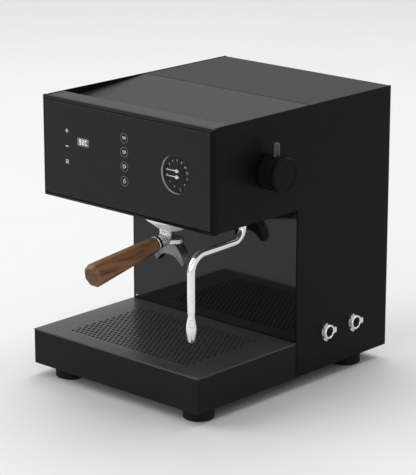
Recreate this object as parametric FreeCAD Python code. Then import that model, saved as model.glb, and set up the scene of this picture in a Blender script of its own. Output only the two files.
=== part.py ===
"""Countertop espresso machine: sheet-metal body, portafilter group, steam wand, drip tray and lift-out tank.

Sizes are in millimetres. The bench frame used while modelling has X to the machine's right, Y to its back
with 0 at the back edge of the side panels, and Z up from the counter. Each finished piece is moved so that
the origin is the middle of the whole object's footprint, on the counter.
"""
import FreeCAD, Part
import math
import os

# Driving dimensions of the body
BODY_WIDTH = 288.0
BODY_HEIGHT = 350.0
FOOT_HEIGHT = 15.5
HEAD_DEPTH = 341.0
HEAD_HEIGHT = 130.5
COLUMN_DEPTH = 182.0
BASE_DEPTH = 365.0
TRAY_HEIGHT = 46.3
SHEET = 2.0
EDGE_BREAK = 0.6
CLEARANCE = 0.3
SHAFT_CLEARANCE = 0.06

# Feet
FOOT_RADIUS = 19.5
FOOT_TAPER = 1.5
FOOT_SPIGOT_RADIUS = 5.0
FOOT_LEFT_INSET = 39.0
FOOT_RIGHT_INSET = 23.5
FOOT_FRONT_INSET = 27.0
FOOT_REAR_INSET = 55.0

# Rear panel, its vents and the power inlet
REAR_INSET = 8.0
VENT_LENGTH = 70.0
VENT_HEIGHT = 4.0
VENT_PITCH = 9.0
VENT_ROWS = 9
VENT_OFFSET = 58.0
VENT_DROP = 126.0
INLET_INSET = 52.0
INLET_RISE = 48.0
INLET_WIDTH = 28.0
INLET_HEIGHT = 20.0
INLET_DEPTH = 22.0
INLET_WALL = 1.7
INLET_CHAMFER = 4.0
INLET_FLANGE = 6.0
INLET_FLANGE_THICKNESS = 2.5
BLADE_WIDTH = 4.0
BLADE_THICKNESS = 2.0
BLADE_LENGTH = 12.0
BLADE_SPREAD = 7.0
BLADE_RISE = 2.0

# Splash plate behind the cup space
SPLASH_THICKNESS = 3.0

# Cup tray in front and lid behind, on top of the body
STRIP_DEPTH = 26.0
CUP_TRAY_DROP = 10.0
CUP_TRAY_SHEET = 1.5
CUP_TRAY_FLANGE = 12.0
TOP_INSET = 0.6
LID_DEPTH = 157.0
LID_SHEET = 2.0
LID_DROP = 0.4
LID_SKIRT = 8.0
LID_SIDE_GAP = 0.7
LID_REAR_INSET = 1.0

# Front bezel and glass
BEZEL_DEPTH = 8.0
BEZEL_BORDER = 4.0
BEZEL_LEDGE = 9.0
BEZEL_OVERHANG = 2.6
BEZEL_TOP_INSET = 0.6
BEZEL_CHAMFER = 1.2
GLASS_THICKNESS = 4.0
GLASS_CHAMFER = 0.8
BOARD_THICKNESS = 1.6
BOARD_SIDE_MARGIN = 18.0
BOARD_GAUGE_GAP = 12.0
BOARD_MARGIN = 7.0
DISPLAY_INSET = 71.5
DISPLAY_DROP = 51.0
DISPLAY_WIDTH = 26.0
DISPLAY_HEIGHT = 17.0

# Pressure gauge
GAUGE_INSET = 59.4
GAUGE_DROP = 65.0
GAUGE_RADIUS = 24.0
GAUGE_WALL = 0.4
GAUGE_RIM_INSET = 0.3
GAUGE_DEPTH = 4.2
DIAL_THICKNESS = 1.0
LENS_THICKNESS = 1.2
LENS_RECESS = 0.6
GAUGE_CASE_LENGTH = 24.0
GAUGE_CASE_WALL = 1.5
NEEDLE_LENGTH = 17.5
NEEDLE_TAIL = 3.2
NEEDLE_WIDTH = 1.5
NEEDLE_THICKNESS = 0.6
NEEDLE_HUB_RADIUS = 2.2
NEEDLE_HUB_HEIGHT = 1.2
NEEDLE_SHAFT_RADIUS = 0.6
NEEDLE_SPACING = 7.5
NEEDLE_LIFT = 0.4

# Brew group, on the middle line of the machine
GROUP_INSET = 83.0
BELL_RADIUS = 44.0
BELL_DROP = 13.0
BELL_HEIGHT = 40.0
GROUP_FLANGE_RADIUS = 58.0
GROUP_FLANGE_THICKNESS = 6.0
LIP_THICKNESS = 4.0
LUG_HEIGHT = 6.0
LUG_REACH = 4.2
LUG_ANGLE = 34.0
LUG_LIFT = 0.4
ENTRY_TURN = 45.0
ENTRY_MARGIN = 4.0
GASKET_HEIGHT = 8.0
GASKET_WIDTH = 5.5
SCREEN_DROP = 4.0
SCREEN_THICKNESS = 1.2
SCREEN_STEM = 4.0
BOILER_RADIUS = 41.0
BOILER_WALL = 3.0
BOILER_HEIGHT = 78.0
BOILER_FLANGE_RADIUS = 52.0
BOILER_FLANGE_THICKNESS = 5.0
BOILER_DOME = 10.0
BOLT_CIRCLE = 47.0
BOLT_RADIUS = 2.5
BOLT_HEAD_ACROSS = 8.0
BOLT_HEAD_HEIGHT = 4.0
BOLT_COUNT = 6

# Portafilter
RIM_RADIUS = 35.0
RIM_HEIGHT = 5.0
BOWL_RADIUS = 33.0
BOWL_WALL = 2.6
BOWL_BASE_RADIUS = 16.0
BOWL_HEIGHT = 40.4
BOWL_CONE = 13.0
NECK_RADIUS = 8.5
NECK_OFFSET = 10.0
NECK_BEND = 9.0
COLLAR_RADIUS = 13.0
COLLAR_OFFSET = 4.0
COLLAR_THICKNESS = 5.0
COLLAR_DROP = 18.5
OUTFLOW_RADIUS = 3.0
OUTFLOW_OFFSET = 5.0
BASKET_GAP = 0.4
BASKET_WALL = 0.8
BASKET_DEPTH = 24.0
BASKET_FLANGE = 1.0
BASKET_TAPER = 3.0
HANDLE_TILT = 9.0
HANDLE_DROP = 9.9
SOCKET_LENGTH = 26.0
STUD_RADIUS = 4.0
STUD_LENGTH = 60.0
FERRULE_RADIUS = 9.2
FERRULE_LENGTH = 5.0
HANDLE_LENGTH = 114.0
HANDLE_NECK = 18.6
HANDLE_BUTT = 28.4
HANDLE_CHAMFER = 4.0
SPOUT_SPAN = 49.0
SPOUT_HEIGHT = 25.5
SPOUT_ARCH_SPAN = 41.0
SPOUT_ARCH_HEIGHT = 12.0
SPOUT_DEPTH = 15.0
SPOUT_TIP_DEPTH = 10.0
SPOUT_TOP_WIDTH = 21.0
SPOUT_TIP_BORE = 1.4
SPOUT_BORE_DEPTH = 7.0
SPOUT_INLET_DEPTH = 8.0
SPOUT_SHOULDER = 20.6
SPOUT_SHOULDER_DROP = 8.0

# Steam wand, knob and valve
WAND_SIDE_INSET = 44.0
WAND_INSET = 106.0
WAND_RADIUS = 5.0
WAND_BORE = 3.0
WAND_REACH = 94.0
WAND_DROP = 34.7
WAND_SLOPE = 2.5
WAND_UPPER_BEND = 18.0
WAND_LOWER_BEND = 22.0
WAND_TIP_GAP = 27.5
TIP_LENGTH = 38.0
TIP_RADIUS = 6.9
TIP_BULGE = 18.0
TIP_TAPER_RADIUS = 6.0
TIP_TAPER = 8.0
TIP_WAIST_RADIUS = 4.6
TIP_WAIST = 33.0
TIP_END_RADIUS = 4.7
TIP_END_CHAMFER = 1.2
GLAND_NUT_ACROSS = 24.0
GLAND_NUT_HEIGHT = 11.0
GLAND_RADIUS = 8.5
GLAND_HEIGHT = 18.0
WAND_ENTRY = 10.0
KNOB_INSET = 100.0
KNOB_DROP = 69.3
KNOB_RADIUS = 22.0
KNOB_STANDOFF = 2.0
KNOB_DEPTH = 28.5
KNOB_GROOVE = 1.2
KNOB_GROOVE_INSET = 5.0
KNOB_FACE_RECESS = 1.0
KNOB_RIM = 3.0
KNOB_CHAMFER = 1.6
KNOB_PIN_RADIUS = 4.6
KNOB_PIN_OFFSET = 12.0
KNOB_PIN_RISE = 16.5
KNOB_PIN_SEAT = 10.0
SPINDLE_RADIUS = 4.0
SPINDLE_SEAT = 12.0
VALVE_GAP = 8.5
VALVE_LENGTH = 48.0
VALVE_DEPTH = 54.0
VALVE_HEIGHT = 26.0
VALVE_NOSE_RADIUS = 8.5
STEAM_PIPE_RADIUS = 4.0

# Hose fittings, low on the right side
FITTING_INSET = 59.0
FITTING_PITCH = 54.0
FITTING_RISE = 48.0
FITTING_OUTER = 8.7
FITTING_BORE = 6.7
FITTING_REACH = 5.5
FITTING_LUGS = 3
FITTING_LUG_REACH = 12.5
FITTING_LUG_WIDTH = 8.0
FITTING_LUG_THICKNESS = 3.5
FITTING_SHANK = 8.0
FITTING_SHANK_LENGTH = 10.0
LOCKNUT_ACROSS = 22.0
LOCKNUT_LENGTH = 6.0

# Water tank, its shelf and the lid hinge
TANK_WIDTH = 220.0
TANK_BLOCK_GAP = 17.0
TANK_WALL = 2.5
TANK_CORNER = 6.0
TANK_REAR_GAP = 25.0
TANK_RISE = 148.0
SHELF_GAP = 0.3
SHELF_FLANGE = 14.0
OUTLET_INSET = 15.0
OUTLET_RADIUS = 9.0
OUTLET_BORE = 5.0
OUTLET_LENGTH = 20.0
SEAT_WALL = 4.0
SEAT_FLANGE = 7.0
SEAT_FLANGE_THICKNESS = 3.0
SEAT_FLOOR = 4.0
NIPPLE_RADIUS = 5.0
NIPPLE_LENGTH = 14.0
HINGE_INSET = 20.0
HINGE_LUG_WIDTH = 12.0
HINGE_KNUCKLE_WIDTH = 7.0
HINGE_RADIUS = 5.0
HINGE_PIN_RADIUS = 2.0
HINGE_REAR_GAP = 6.5
HINGE_DROP = 8.0

# Pump, valve, heater block and circuit board inside the body
PUMP_RISE = 46.0
PUMP_COIL = 50.0
PUMP_INLET_LENGTH = 30.0
PUMP_INLET_RADIUS = 7.0
PUMP_OUTLET_LENGTH = 36.0
PUMP_OUTLET_RADIUS = 9.0
MOUNT_THICKNESS = 9.0
MOUNT_DEPTH = 34.0
HOSE_RADIUS = 5.0
HOSE_BEND = 16.0
HOSE_STRAIGHT = 4.0
PIPE_RADIUS = 3.0
PIPE_BEND = 16.0
PIPE_DROP = 42.0
BLOCK_WIDTH = 150.0
BLOCK_DEPTH = 42.0
BLOCK_HEIGHT = 92.0
BLOCK_FRONT_GAP = 5.0
BLOCK_FIN = 3.0
BLOCK_FIN_COUNT = 9
SOLENOID_GAP = 18.0
SOLENOID_WIDTH = 32.0
SOLENOID_HEIGHT = 44.0
SOLENOID_CORE_RADIUS = 6.0
SOLENOID_CORE_RISE = 10.0
PCB_STANDOFF = 8.0
PCB_DEPTH = 120.0
PCB_HEIGHT = 90.0
PCB_RISE = 30.0
RELAY_SIZE = 22.0
RELAY_HEIGHT = 11.0
RELAY_COUNT = 3

# Drip tray and its perforated cover
COVER_SHEET = 2.0
COVER_ROUND = 1.4
COVER_REAR_GAP = 1.2
TRAY_GAP = 1.2
TRAY_WALL = 2.0
RUNNER_HEIGHT = 1.0
RUNNER_WIDTH = 12.0
RUNNER_INSET = 56.0
HOLE_SIZE = 9.0
HOLE_PITCH = 14.3
HOLE_SIDE_MARGIN = 42.0
HOLE_FRONT_MARGIN = 29.0
HOLE_REAR_MARGIN = 27.0

# Places worked out from the driving dimensions
HALF = BODY_WIDTH / 2
INNER = HALF - SHEET
BASE_Z = FOOT_HEIGHT
TOP_Z = BASE_Z + BODY_HEIGHT
HEAD_Z = TOP_Z - HEAD_HEIGHT
FLOOR_Z = HEAD_Z + SHEET
HEAD_Y = -HEAD_DEPTH
FRAME_Y = HEAD_Y + BEZEL_DEPTH
COLUMN_Y = -COLUMN_DEPTH
BASE_Y = -BASE_DEPTH
PLATE_Z = BASE_Z + SHEET
REAR_Y = -REAR_INSET - SHEET
STRIP_Y = FRAME_Y + STRIP_DEPTH
LID_REAR_Y = -LID_REAR_INSET
LID_FRONT_Y = LID_REAR_Y - LID_DEPTH
SEAM_Y = LID_FRONT_Y - LID_SIDE_GAP
LID_Z = TOP_Z - LID_DROP - LID_SHEET
GAUGE_X = HALF - GAUGE_INSET
GAUGE_Z = TOP_Z - GAUGE_DROP
DISPLAY_X = -HALF + DISPLAY_INSET
INLET_X = -HALF + INLET_INSET
GROUP_Y = HEAD_Y + GROUP_INSET
WAND_X = HALF - WAND_SIDE_INSET
WAND_Y = HEAD_Y + WAND_INSET
WAND_TIP_Z = BASE_Z + TRAY_HEIGHT + WAND_TIP_GAP
KNOB_Y = HEAD_Y + KNOB_INSET
BELL_Z = HEAD_Z - BELL_DROP
BELL_TOP_Z = BELL_Z + BELL_HEIGHT
CHANNEL_Z = BELL_Z + LIP_THICKNESS
LUG_Z = CHANNEL_Z + LUG_LIFT
RIM_TOP_Z = FLOOR_Z + RIM_HEIGHT - 2 * CLEARANCE
BASKET_TOP_Z = RIM_TOP_Z + BASKET_FLANGE
GASKET_Z = BASKET_TOP_Z + CLEARANCE
BOWL_BASE_Z = RIM_TOP_Z - BOWL_HEIGHT
BOWL_FLOOR_Z = BOWL_BASE_Z + BOWL_CONE
COLLAR_Z = BOWL_BASE_Z - COLLAR_DROP
HANDLE_Z = BOWL_BASE_Z - HANDLE_DROP
HANDLE_START = SOCKET_LENGTH + FERRULE_LENGTH
HANDLE_END = HANDLE_START + HANDLE_LENGTH
KNOB_Z = TOP_Z - KNOB_DROP
KNOB_X = HALF + KNOB_STANDOFF
VALVE_X = INNER - VALVE_GAP - VALVE_LENGTH
FITTING_Y = (COLUMN_Y + FITTING_INSET, COLUMN_Y + FITTING_INSET + FITTING_PITCH)
FITTING_Z = BASE_Z + FITTING_RISE
TANK_REAR_Y = -TANK_REAR_GAP
BLOCK_FRONT_Y = COLUMN_Y + SPLASH_THICKNESS + BLOCK_FRONT_GAP
TANK_FRONT_Y = BLOCK_FRONT_Y + BLOCK_DEPTH + TANK_BLOCK_GAP
TANK_MID_Y = (TANK_FRONT_Y + TANK_REAR_Y) / 2
TANK_TOP_Z = LID_Z - CLEARANCE
TANK_FLOOR_Z = BASE_Z + TANK_RISE
SHELF_Z = TANK_FLOOR_Z - SHELF_GAP - SHEET
OUTLET_X = -TANK_WIDTH / 2 + OUTLET_INSET
OUTLET_Y = TANK_MID_Y
HINGE_X = TANK_WIDTH / 2 - HINGE_INSET
HINGE_Y = -HINGE_REAR_GAP
HINGE_Z = TOP_Z - HINGE_DROP
PUMP_X = OUTLET_X + HOSE_BEND + HOSE_STRAIGHT + PUMP_INLET_LENGTH + PUMP_COIL / 2
PUMP_Y = OUTLET_Y
PUMP_Z = PLATE_Z + PUMP_RISE
PIPE_X = (TANK_WIDTH / 2 + INNER) / 2
PIPE_Z = TOP_Z - PIPE_DROP
SOLENOID_X = -GROUP_FLANGE_RADIUS - SOLENOID_GAP - SOLENOID_WIDTH / 2
RUNNER_X = HALF - RUNNER_INSET
HOLE_FIELD_WIDTH = BODY_WIDTH - 2 * HOLE_SIDE_MARGIN
HOLE_FIELD_DEPTH = BASE_DEPTH - COLUMN_DEPTH - HOLE_FRONT_MARGIN - HOLE_REAR_MARGIN
SKIRT_INNER = HALF - TRAY_WALL
COVER_REAR_Y = COLUMN_Y - COVER_REAR_GAP
COVER_TOP_Z = BASE_Z + TRAY_HEIGHT
COVER_PLATE_Z = COVER_TOP_Z - COVER_SHEET
TRAY_Z = PLATE_Z + RUNNER_HEIGHT + CLEARANCE
TRAY_TOP_Z = COVER_PLATE_Z - CLEARANCE
PLATE_FRONT_Y = BASE_Y + TRAY_WALL + TRAY_GAP

# The origin is the middle of the whole object's footprint, which the knob, the bezel and the handle widen
KNOB_REACH = KNOB_STANDOFF + KNOB_DEPTH
HANDLE_TIP_Y = (GROUP_Y - HANDLE_END * math.cos(math.radians(HANDLE_TILT))
                - (HANDLE_BUTT / 2 - HANDLE_CHAMFER) * math.sin(math.radians(HANDLE_TILT)))
ORIGIN = FreeCAD.Vector((KNOB_REACH - BEZEL_OVERHANG) / 2, HANDLE_TIP_Y / 2, 0)

X_AXIS = FreeCAD.Vector(1, 0, 0)
Y_AXIS = FreeCAD.Vector(0, 1, 0)
Z_AXIS = FreeCAD.Vector(0, 0, 1)
GROUP_AXIS = FreeCAD.Vector(0, GROUP_Y, 0)


def vec(x, y, z):
    return FreeCAD.Vector(x, y, z)


def block(x, y, z):
    """A box between two limits on each axis."""
    return Part.makeBox(x[1] - x[0], y[1] - y[0], z[1] - z[0], vec(x[0], y[0], z[0]))


def rod(radius, start, end):
    """A round bar between two points."""
    return Part.makeCylinder(radius, (end - start).Length, start, end - start)


def pipe(radius, bore, start, end):
    return rod(radius, start, end).cut(rod(bore, start, end))


def face(points):
    return Part.Face(Part.makePolygon(points + [points[0]]))


def side_prism(outline, x_low, x_high):
    """A prism along X from an outline of (y, z) points."""
    return face([vec(x_low, y, z) for y, z in outline]).extrude(X_AXIS * (x_high - x_low))


def front_prism(outline, y_low, y_high):
    """A prism along Y from an outline of (x, z) points."""
    return face([vec(x, y_low, z) for x, z in outline]).extrude(Y_AXIS * (y_high - y_low))


def turned(outline, axis_point=GROUP_AXIS):
    """A solid turned about an upright axis from an outline of (radius, z) points."""
    points = [axis_point + vec(radius, 0, z) for radius, z in outline]
    return face(points).revolve(axis_point, Z_AXIS, 360)


def turned_sideways(outline, y, z):
    """A solid turned about an axis along X from an outline of (x, radius) points."""
    points = [vec(x, y, z + radius) for x, radius in outline]
    return face(points).revolve(vec(0, y, z), X_AXIS, 360)


def regular(sides, across):
    """Corner points, as (u, v), of a regular outline with the given width across flats."""
    radius = across / 2 / math.cos(math.pi / sides)
    angles = [math.pi * (2 * k + 1) / sides for k in range(sides)]
    return [(radius * math.cos(a), radius * math.sin(a)) for a in angles]


def hex_along_x(across, x_low, x_high, y, z):
    points = [vec(x_low, y + u, z + v) for u, v in regular(6, across)]
    return face(points).extrude(X_AXIS * (x_high - x_low))


def hex_upright(across, centre, height):
    points = [centre + vec(u, v, 0) for u, v in regular(6, across)]
    return face(points).extrude(Z_AXIS * height)


def edges_where(shape, test):
    return [edge for edge in shape.Edges if all(test(v.Point) for v in edge.Vertexes)]


def near(a, b):
    return abs(a - b) < 1e-6


def bent_path(points, radii):
    """Straight runs through the points, joined by tangent arcs of the given radii at the inner points."""
    edges = []
    start = points[0]
    for before, corner, after, radius in zip(points, points[1:], points[2:], radii):
        inward = (before - corner).normalize()
        onward = (after - corner).normalize()
        half_turn = inward.getAngle(onward) / 2
        first = corner + inward * (radius / math.tan(half_turn))
        last = corner + onward * (radius / math.tan(half_turn))
        bisector = (inward + onward).normalize()
        middle = corner + bisector * (radius / math.sin(half_turn) - radius)
        edges.append(Part.LineSegment(start, first).toShape())
        edges.append(Part.Arc(first, middle, last).toShape())
        start = last
    edges.append(Part.LineSegment(start, points[-1]).toShape())
    return Part.Wire(edges)


def swept(path, radius):
    start = path.OrderedVertexes[0].Point
    tangent = path.OrderedEdges[0].tangentAt(path.OrderedEdges[0].FirstParameter)
    ring = Part.Wire(Part.makeCircle(radius, start, tangent))
    return path.makePipeShell([ring], True, True)


def bent_tube(points, radii, radius, bore=0.0):
    path = bent_path(points, radii)
    tube = swept(path, radius)
    if bore:
        tube = tube.cut(swept(path, bore))
    return tube


def base_plate():
    front_half = SKIRT_INNER - TRAY_GAP
    column = block((-INNER, INNER), (COLUMN_Y, REAR_Y + SHEET), (BASE_Z, PLATE_Z))
    front = block((-front_half, front_half), (PLATE_FRONT_Y, COLUMN_Y), (BASE_Z, PLATE_Z))
    plate = column.fuse(front)
    for side in (-1, 1):
        x = side * RUNNER_X
        runner = block((x - RUNNER_WIDTH / 2, x + RUNNER_WIDTH / 2), (PLATE_FRONT_Y, COVER_REAR_Y),
                       (PLATE_Z, PLATE_Z + RUNNER_HEIGHT))
        plate = plate.fuse(runner)
    for x, y in foot_places():
        plate = plate.cut(rod(FOOT_SPIGOT_RADIUS, vec(x, y, BASE_Z), vec(x, y, PLATE_Z)))
    return plate.removeSplitter()


def foot_places():
    left = -HALF + FOOT_LEFT_INSET
    right = HALF - FOOT_RIGHT_INSET
    return [(x, y) for y in (BASE_Y + FOOT_FRONT_INSET, -FOOT_REAR_INSET) for x in (left, right)]


def rubber_feet():
    feet = []
    for x, y in foot_places():
        outline = [(0, 0), (FOOT_RADIUS - FOOT_TAPER, 0), (FOOT_RADIUS, FOOT_TAPER),
                   (FOOT_RADIUS, FOOT_HEIGHT),
                   (FOOT_SPIGOT_RADIUS, FOOT_HEIGHT), (FOOT_SPIGOT_RADIUS, PLATE_Z), (0, PLATE_Z)]
        feet.append(turned(outline, vec(x, y, 0)))
    return Part.makeCompound(feet)


def side_sheet(side):
    """One inverted-L side panel: column and head in one sheet, with broken outer edges."""
    outline = [(0, BASE_Z), (COLUMN_Y, BASE_Z), (COLUMN_Y, HEAD_Z), (FRAME_Y, HEAD_Z), (FRAME_Y, TOP_Z),
               (0, TOP_Z)]
    sheet = side_prism(outline, side * INNER, side * HALF)
    return sheet.makeChamfer(EDGE_BREAK, edges_where(sheet, lambda p: near(p.x, side * HALF)))


def left_side_panel():
    return side_sheet(-1)


def right_side_panel():
    panel = side_sheet(1)
    nose = VALVE_NOSE_RADIUS + CLEARANCE
    panel = panel.cut(rod(nose, vec(INNER, KNOB_Y, KNOB_Z), vec(HALF, KNOB_Y, KNOB_Z)))
    for y in FITTING_Y:
        panel = panel.cut(rod(FITTING_SHANK, vec(INNER, y, FITTING_Z), vec(HALF, y, FITTING_Z)))
    return panel


def rear_panel():
    panel = block((-INNER, INNER), (REAR_Y, REAR_Y + SHEET), (PLATE_Z, HINGE_Z - HINGE_RADIUS - CLEARANCE))
    for row in range(VENT_ROWS):
        z = TOP_Z - VENT_DROP + row * VENT_PITCH
        for side in (-1, 1):
            x = side * VENT_OFFSET
            slot = block((x - VENT_LENGTH / 2, x + VENT_LENGTH / 2), (REAR_Y, REAR_Y + SHEET),
                         (z, z + VENT_HEIGHT))
            panel = panel.cut(slot)
    opening = front_prism(inlet_outline(0), REAR_Y, REAR_Y + SHEET)
    return panel.cut(opening)


def inlet_outline(inset):
    """The outline of the power inlet, with its two lower corners cut off."""
    half = INLET_WIDTH / 2 - inset
    low = BASE_Z + INLET_RISE - INLET_HEIGHT / 2 + inset
    high = BASE_Z + INLET_RISE + INLET_HEIGHT / 2 - inset
    cut = INLET_CHAMFER
    return [(INLET_X - half + cut, low), (INLET_X + half - cut, low), (INLET_X + half, low + cut),
            (INLET_X + half, high), (INLET_X - half, high), (INLET_X - half, low + cut)]


def power_inlet():
    """Recessed three-blade inlet, flanged outside the rear panel."""
    outside = REAR_Y + SHEET
    back = outside - INLET_DEPTH
    mouth = outside + INLET_FLANGE_THICKNESS
    centre_z = BASE_Z + INLET_RISE
    flange = block((INLET_X - INLET_WIDTH / 2 - INLET_FLANGE, INLET_X + INLET_WIDTH / 2 + INLET_FLANGE),
                   (outside, mouth),
                   (centre_z - (INLET_HEIGHT + INLET_FLANGE) / 2,
                    centre_z + (INLET_HEIGHT + INLET_FLANGE) / 2))
    body = front_prism(inlet_outline(0), back, outside).fuse(flange)
    floor = back + INLET_WALL
    body = body.cut(front_prism(inlet_outline(INLET_WALL), floor, mouth))
    for offset, rise in ((-BLADE_SPREAD, -BLADE_RISE), (0, BLADE_RISE), (BLADE_SPREAD, -BLADE_RISE)):
        x = INLET_X + offset
        z = centre_z + rise
        blade = block((x - BLADE_THICKNESS / 2, x + BLADE_THICKNESS / 2), (floor, floor + BLADE_LENGTH),
                      (z - BLADE_WIDTH / 2, z + BLADE_WIDTH / 2))
        body = body.fuse(blade)
    return body.removeSplitter()


def backsplash():
    half = INNER - CLEARANCE
    return block((-half, half), (COLUMN_Y, COLUMN_Y + SPLASH_THICKNESS), (PLATE_Z, HEAD_Z))


def head_floor():
    """The sheet under the head, with the holes for the brew group and the wand's gland."""
    floor = block((-INNER, INNER), (FRAME_Y, COLUMN_Y + SPLASH_THICKNESS), (HEAD_Z, FLOOR_Z))
    floor = floor.cut(rod(BELL_RADIUS, vec(0, GROUP_Y, HEAD_Z), vec(0, GROUP_Y, FLOOR_Z)))
    return floor.cut(rod(GLAND_RADIUS, vec(WAND_X, WAND_Y, HEAD_Z), vec(WAND_X, WAND_Y, FLOOR_Z)))


def cup_tray():
    """Folded top sheet: a front strip, a step down and a floor that climbs back to the lid's seam."""
    top = TOP_Z - TOP_INSET
    step = top - CUP_TRAY_DROP
    t = CUP_TRAY_SHEET
    outline = [(FRAME_Y, top), (STRIP_Y, top), (STRIP_Y, step), (SEAM_Y, top),
               (SEAM_Y, top - CUP_TRAY_FLANGE),
               (SEAM_Y - t, top - CUP_TRAY_FLANGE), (SEAM_Y - t, top - t), (STRIP_Y - t, step - t),
               (STRIP_Y - t, top - t), (FRAME_Y, top - t)]
    half = INNER - CLEARANCE
    return side_prism(outline, -half, half)


def bezel_block(border, y_low, y_high):
    half = HALF + BEZEL_OVERHANG - border
    return block((-half, half), (y_low, y_high), (HEAD_Z + border, TOP_Z - BEZEL_TOP_INSET - border))


def front_frame():
    """Moulded bezel round the front glass, with a ledge that the glass sits on."""
    frame = bezel_block(0, HEAD_Y, FRAME_Y)
    frame = frame.makeChamfer(BEZEL_CHAMFER, edges_where(frame, lambda p: near(p.y, HEAD_Y)))
    frame = frame.cut(bezel_block(BEZEL_BORDER, HEAD_Y, HEAD_Y + GLASS_THICKNESS))
    return frame.cut(bezel_block(BEZEL_BORDER + BEZEL_LEDGE, HEAD_Y, FRAME_Y))


def gauge_point(y):
    return vec(GAUGE_X, y, GAUGE_Z)


def control_glass():
    """Bevelled glass front with the round opening for the gauge."""
    glass = bezel_block(BEZEL_BORDER + CLEARANCE, HEAD_Y, HEAD_Y + GLASS_THICKNESS)
    glass = glass.makeChamfer(GLASS_CHAMFER, edges_where(glass, lambda p: near(p.y, HEAD_Y)))
    hole = rod(GAUGE_RADIUS + GAUGE_WALL, gauge_point(HEAD_Y), gauge_point(HEAD_Y + GLASS_THICKNESS))
    return glass.cut(hole)


def touch_board():
    """Circuit board with the touch pads, held against the back of the bezel."""
    low = HEAD_Z + BEZEL_BORDER + BOARD_MARGIN
    high = TOP_Z - BEZEL_BORDER - BOARD_MARGIN
    left = -HALF + BOARD_SIDE_MARGIN
    right = GAUGE_X - GAUGE_RADIUS - BOARD_GAUGE_GAP
    return block((left, right), (FRAME_Y, FRAME_Y + BOARD_THICKNESS), (low, high))


def display_module():
    z = TOP_Z - DISPLAY_DROP
    return block((DISPLAY_X - DISPLAY_WIDTH / 2, DISPLAY_X + DISPLAY_WIDTH / 2),
                 (HEAD_Y + GLASS_THICKNESS, FRAME_Y), (z - DISPLAY_HEIGHT / 2, z + DISPLAY_HEIGHT / 2))


def gauge_ring():
    """Polished sleeve that lines the gauge's opening."""
    return pipe(GAUGE_RADIUS + GAUGE_WALL, GAUGE_RADIUS, gauge_point(HEAD_Y + GAUGE_RIM_INSET),
                gauge_point(HEAD_Y + GAUGE_DEPTH))


def gauge_lens():
    front = HEAD_Y + LENS_RECESS
    return rod(GAUGE_RADIUS, gauge_point(front), gauge_point(front + LENS_THICKNESS))


def needle_places():
    """The two needle spindles, one above the other."""
    return [vec(GAUGE_X, 0, GAUGE_Z + side * NEEDLE_SPACING / 2) for side in (1, -1)]


def gauge_dial():
    front = HEAD_Y + GAUGE_DEPTH
    dial = rod(GAUGE_RADIUS + GAUGE_WALL, gauge_point(front), gauge_point(front + DIAL_THICKNESS))
    for place in needle_places():
        hole = rod(NEEDLE_SHAFT_RADIUS + SHAFT_CLEARANCE, place + vec(0, front, 0),
                   place + vec(0, front + DIAL_THICKNESS, 0))
        dial = dial.cut(hole)
    return dial


def gauge_case():
    """Closed can behind the dial, with its pressure union at the back."""
    front = HEAD_Y + GAUGE_DEPTH + DIAL_THICKNESS
    back = front + GAUGE_CASE_LENGTH
    outer = rod(GAUGE_RADIUS + GAUGE_WALL, gauge_point(front), gauge_point(back))
    inner = rod(GAUGE_RADIUS + GAUGE_WALL - GAUGE_CASE_WALL, gauge_point(front),
                gauge_point(back - GAUGE_CASE_WALL))
    union = rod(STEAM_PIPE_RADIUS, gauge_point(back), gauge_point(back + GAUGE_CASE_LENGTH / 2))
    bridge = block((GAUGE_X - NEEDLE_SPACING, GAUGE_X + NEEDLE_SPACING), (front, back - GAUGE_CASE_WALL),
                   (GAUGE_Z - NEEDLE_SPACING, GAUGE_Z + NEEDLE_SPACING))
    case = outer.cut(inner).fuse(union).fuse(bridge)
    for place in needle_places():
        bearing = rod(NEEDLE_SHAFT_RADIUS + SHAFT_CLEARANCE, place + vec(0, front, 0),
                      place + vec(0, front + needle_shaft_depth() + CLEARANCE, 0))
        case = case.cut(bearing)
    return case.removeSplitter()


def needle_shaft_depth():
    """How far a needle's spindle runs into the movement behind the dial."""
    return GAUGE_CASE_LENGTH / 2


def needle(place):
    """Tapered needle pointing left from its hub, with its spindle through the dial."""
    dial = HEAD_Y + GAUGE_DEPTH
    blade_y = dial - NEEDLE_LIFT - NEEDLE_THICKNESS
    x = place.x
    half = NEEDLE_WIDTH / 2
    outline = [(x - NEEDLE_LENGTH, place.z - half / 3), (x - NEEDLE_LENGTH, place.z + half / 3),
               (x + NEEDLE_TAIL, place.z + half), (x + NEEDLE_TAIL, place.z - half)]
    blade = front_prism(outline, blade_y, blade_y + NEEDLE_THICKNESS)
    hub_y = blade_y + NEEDLE_THICKNESS - NEEDLE_HUB_HEIGHT
    hub = rod(NEEDLE_HUB_RADIUS, vec(x, hub_y, place.z), vec(x, blade_y + NEEDLE_THICKNESS, place.z))
    spindle_end = dial + DIAL_THICKNESS + needle_shaft_depth()
    spindle = rod(NEEDLE_SHAFT_RADIUS, vec(x, hub_y, place.z), vec(x, spindle_end, place.z))
    return blade.fuse(hub).fuse(spindle).removeSplitter()


def pump_needle():
    return needle(needle_places()[0])


def boiler_needle():
    return needle(needle_places()[1])


def wedge(inner, outer, z_low, z_high, middle_angle, spread):
    """A ring sector about the group's axis, centred on an angle measured from +X."""
    ring = turned([(inner, z_low), (outer, z_low), (outer, z_high), (inner, z_high)])
    start = math.radians(middle_angle - spread / 2)
    end = math.radians(middle_angle + spread / 2)
    reach = 2 * outer
    corners = [GROUP_AXIS + vec(0, 0, z_low)]
    corners += [GROUP_AXIS + vec(reach * math.cos(a), reach * math.sin(a), z_low) for a in (start, end)]
    return ring.common(face(corners).extrude(Z_AXIS * (z_high - z_low)))


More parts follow.
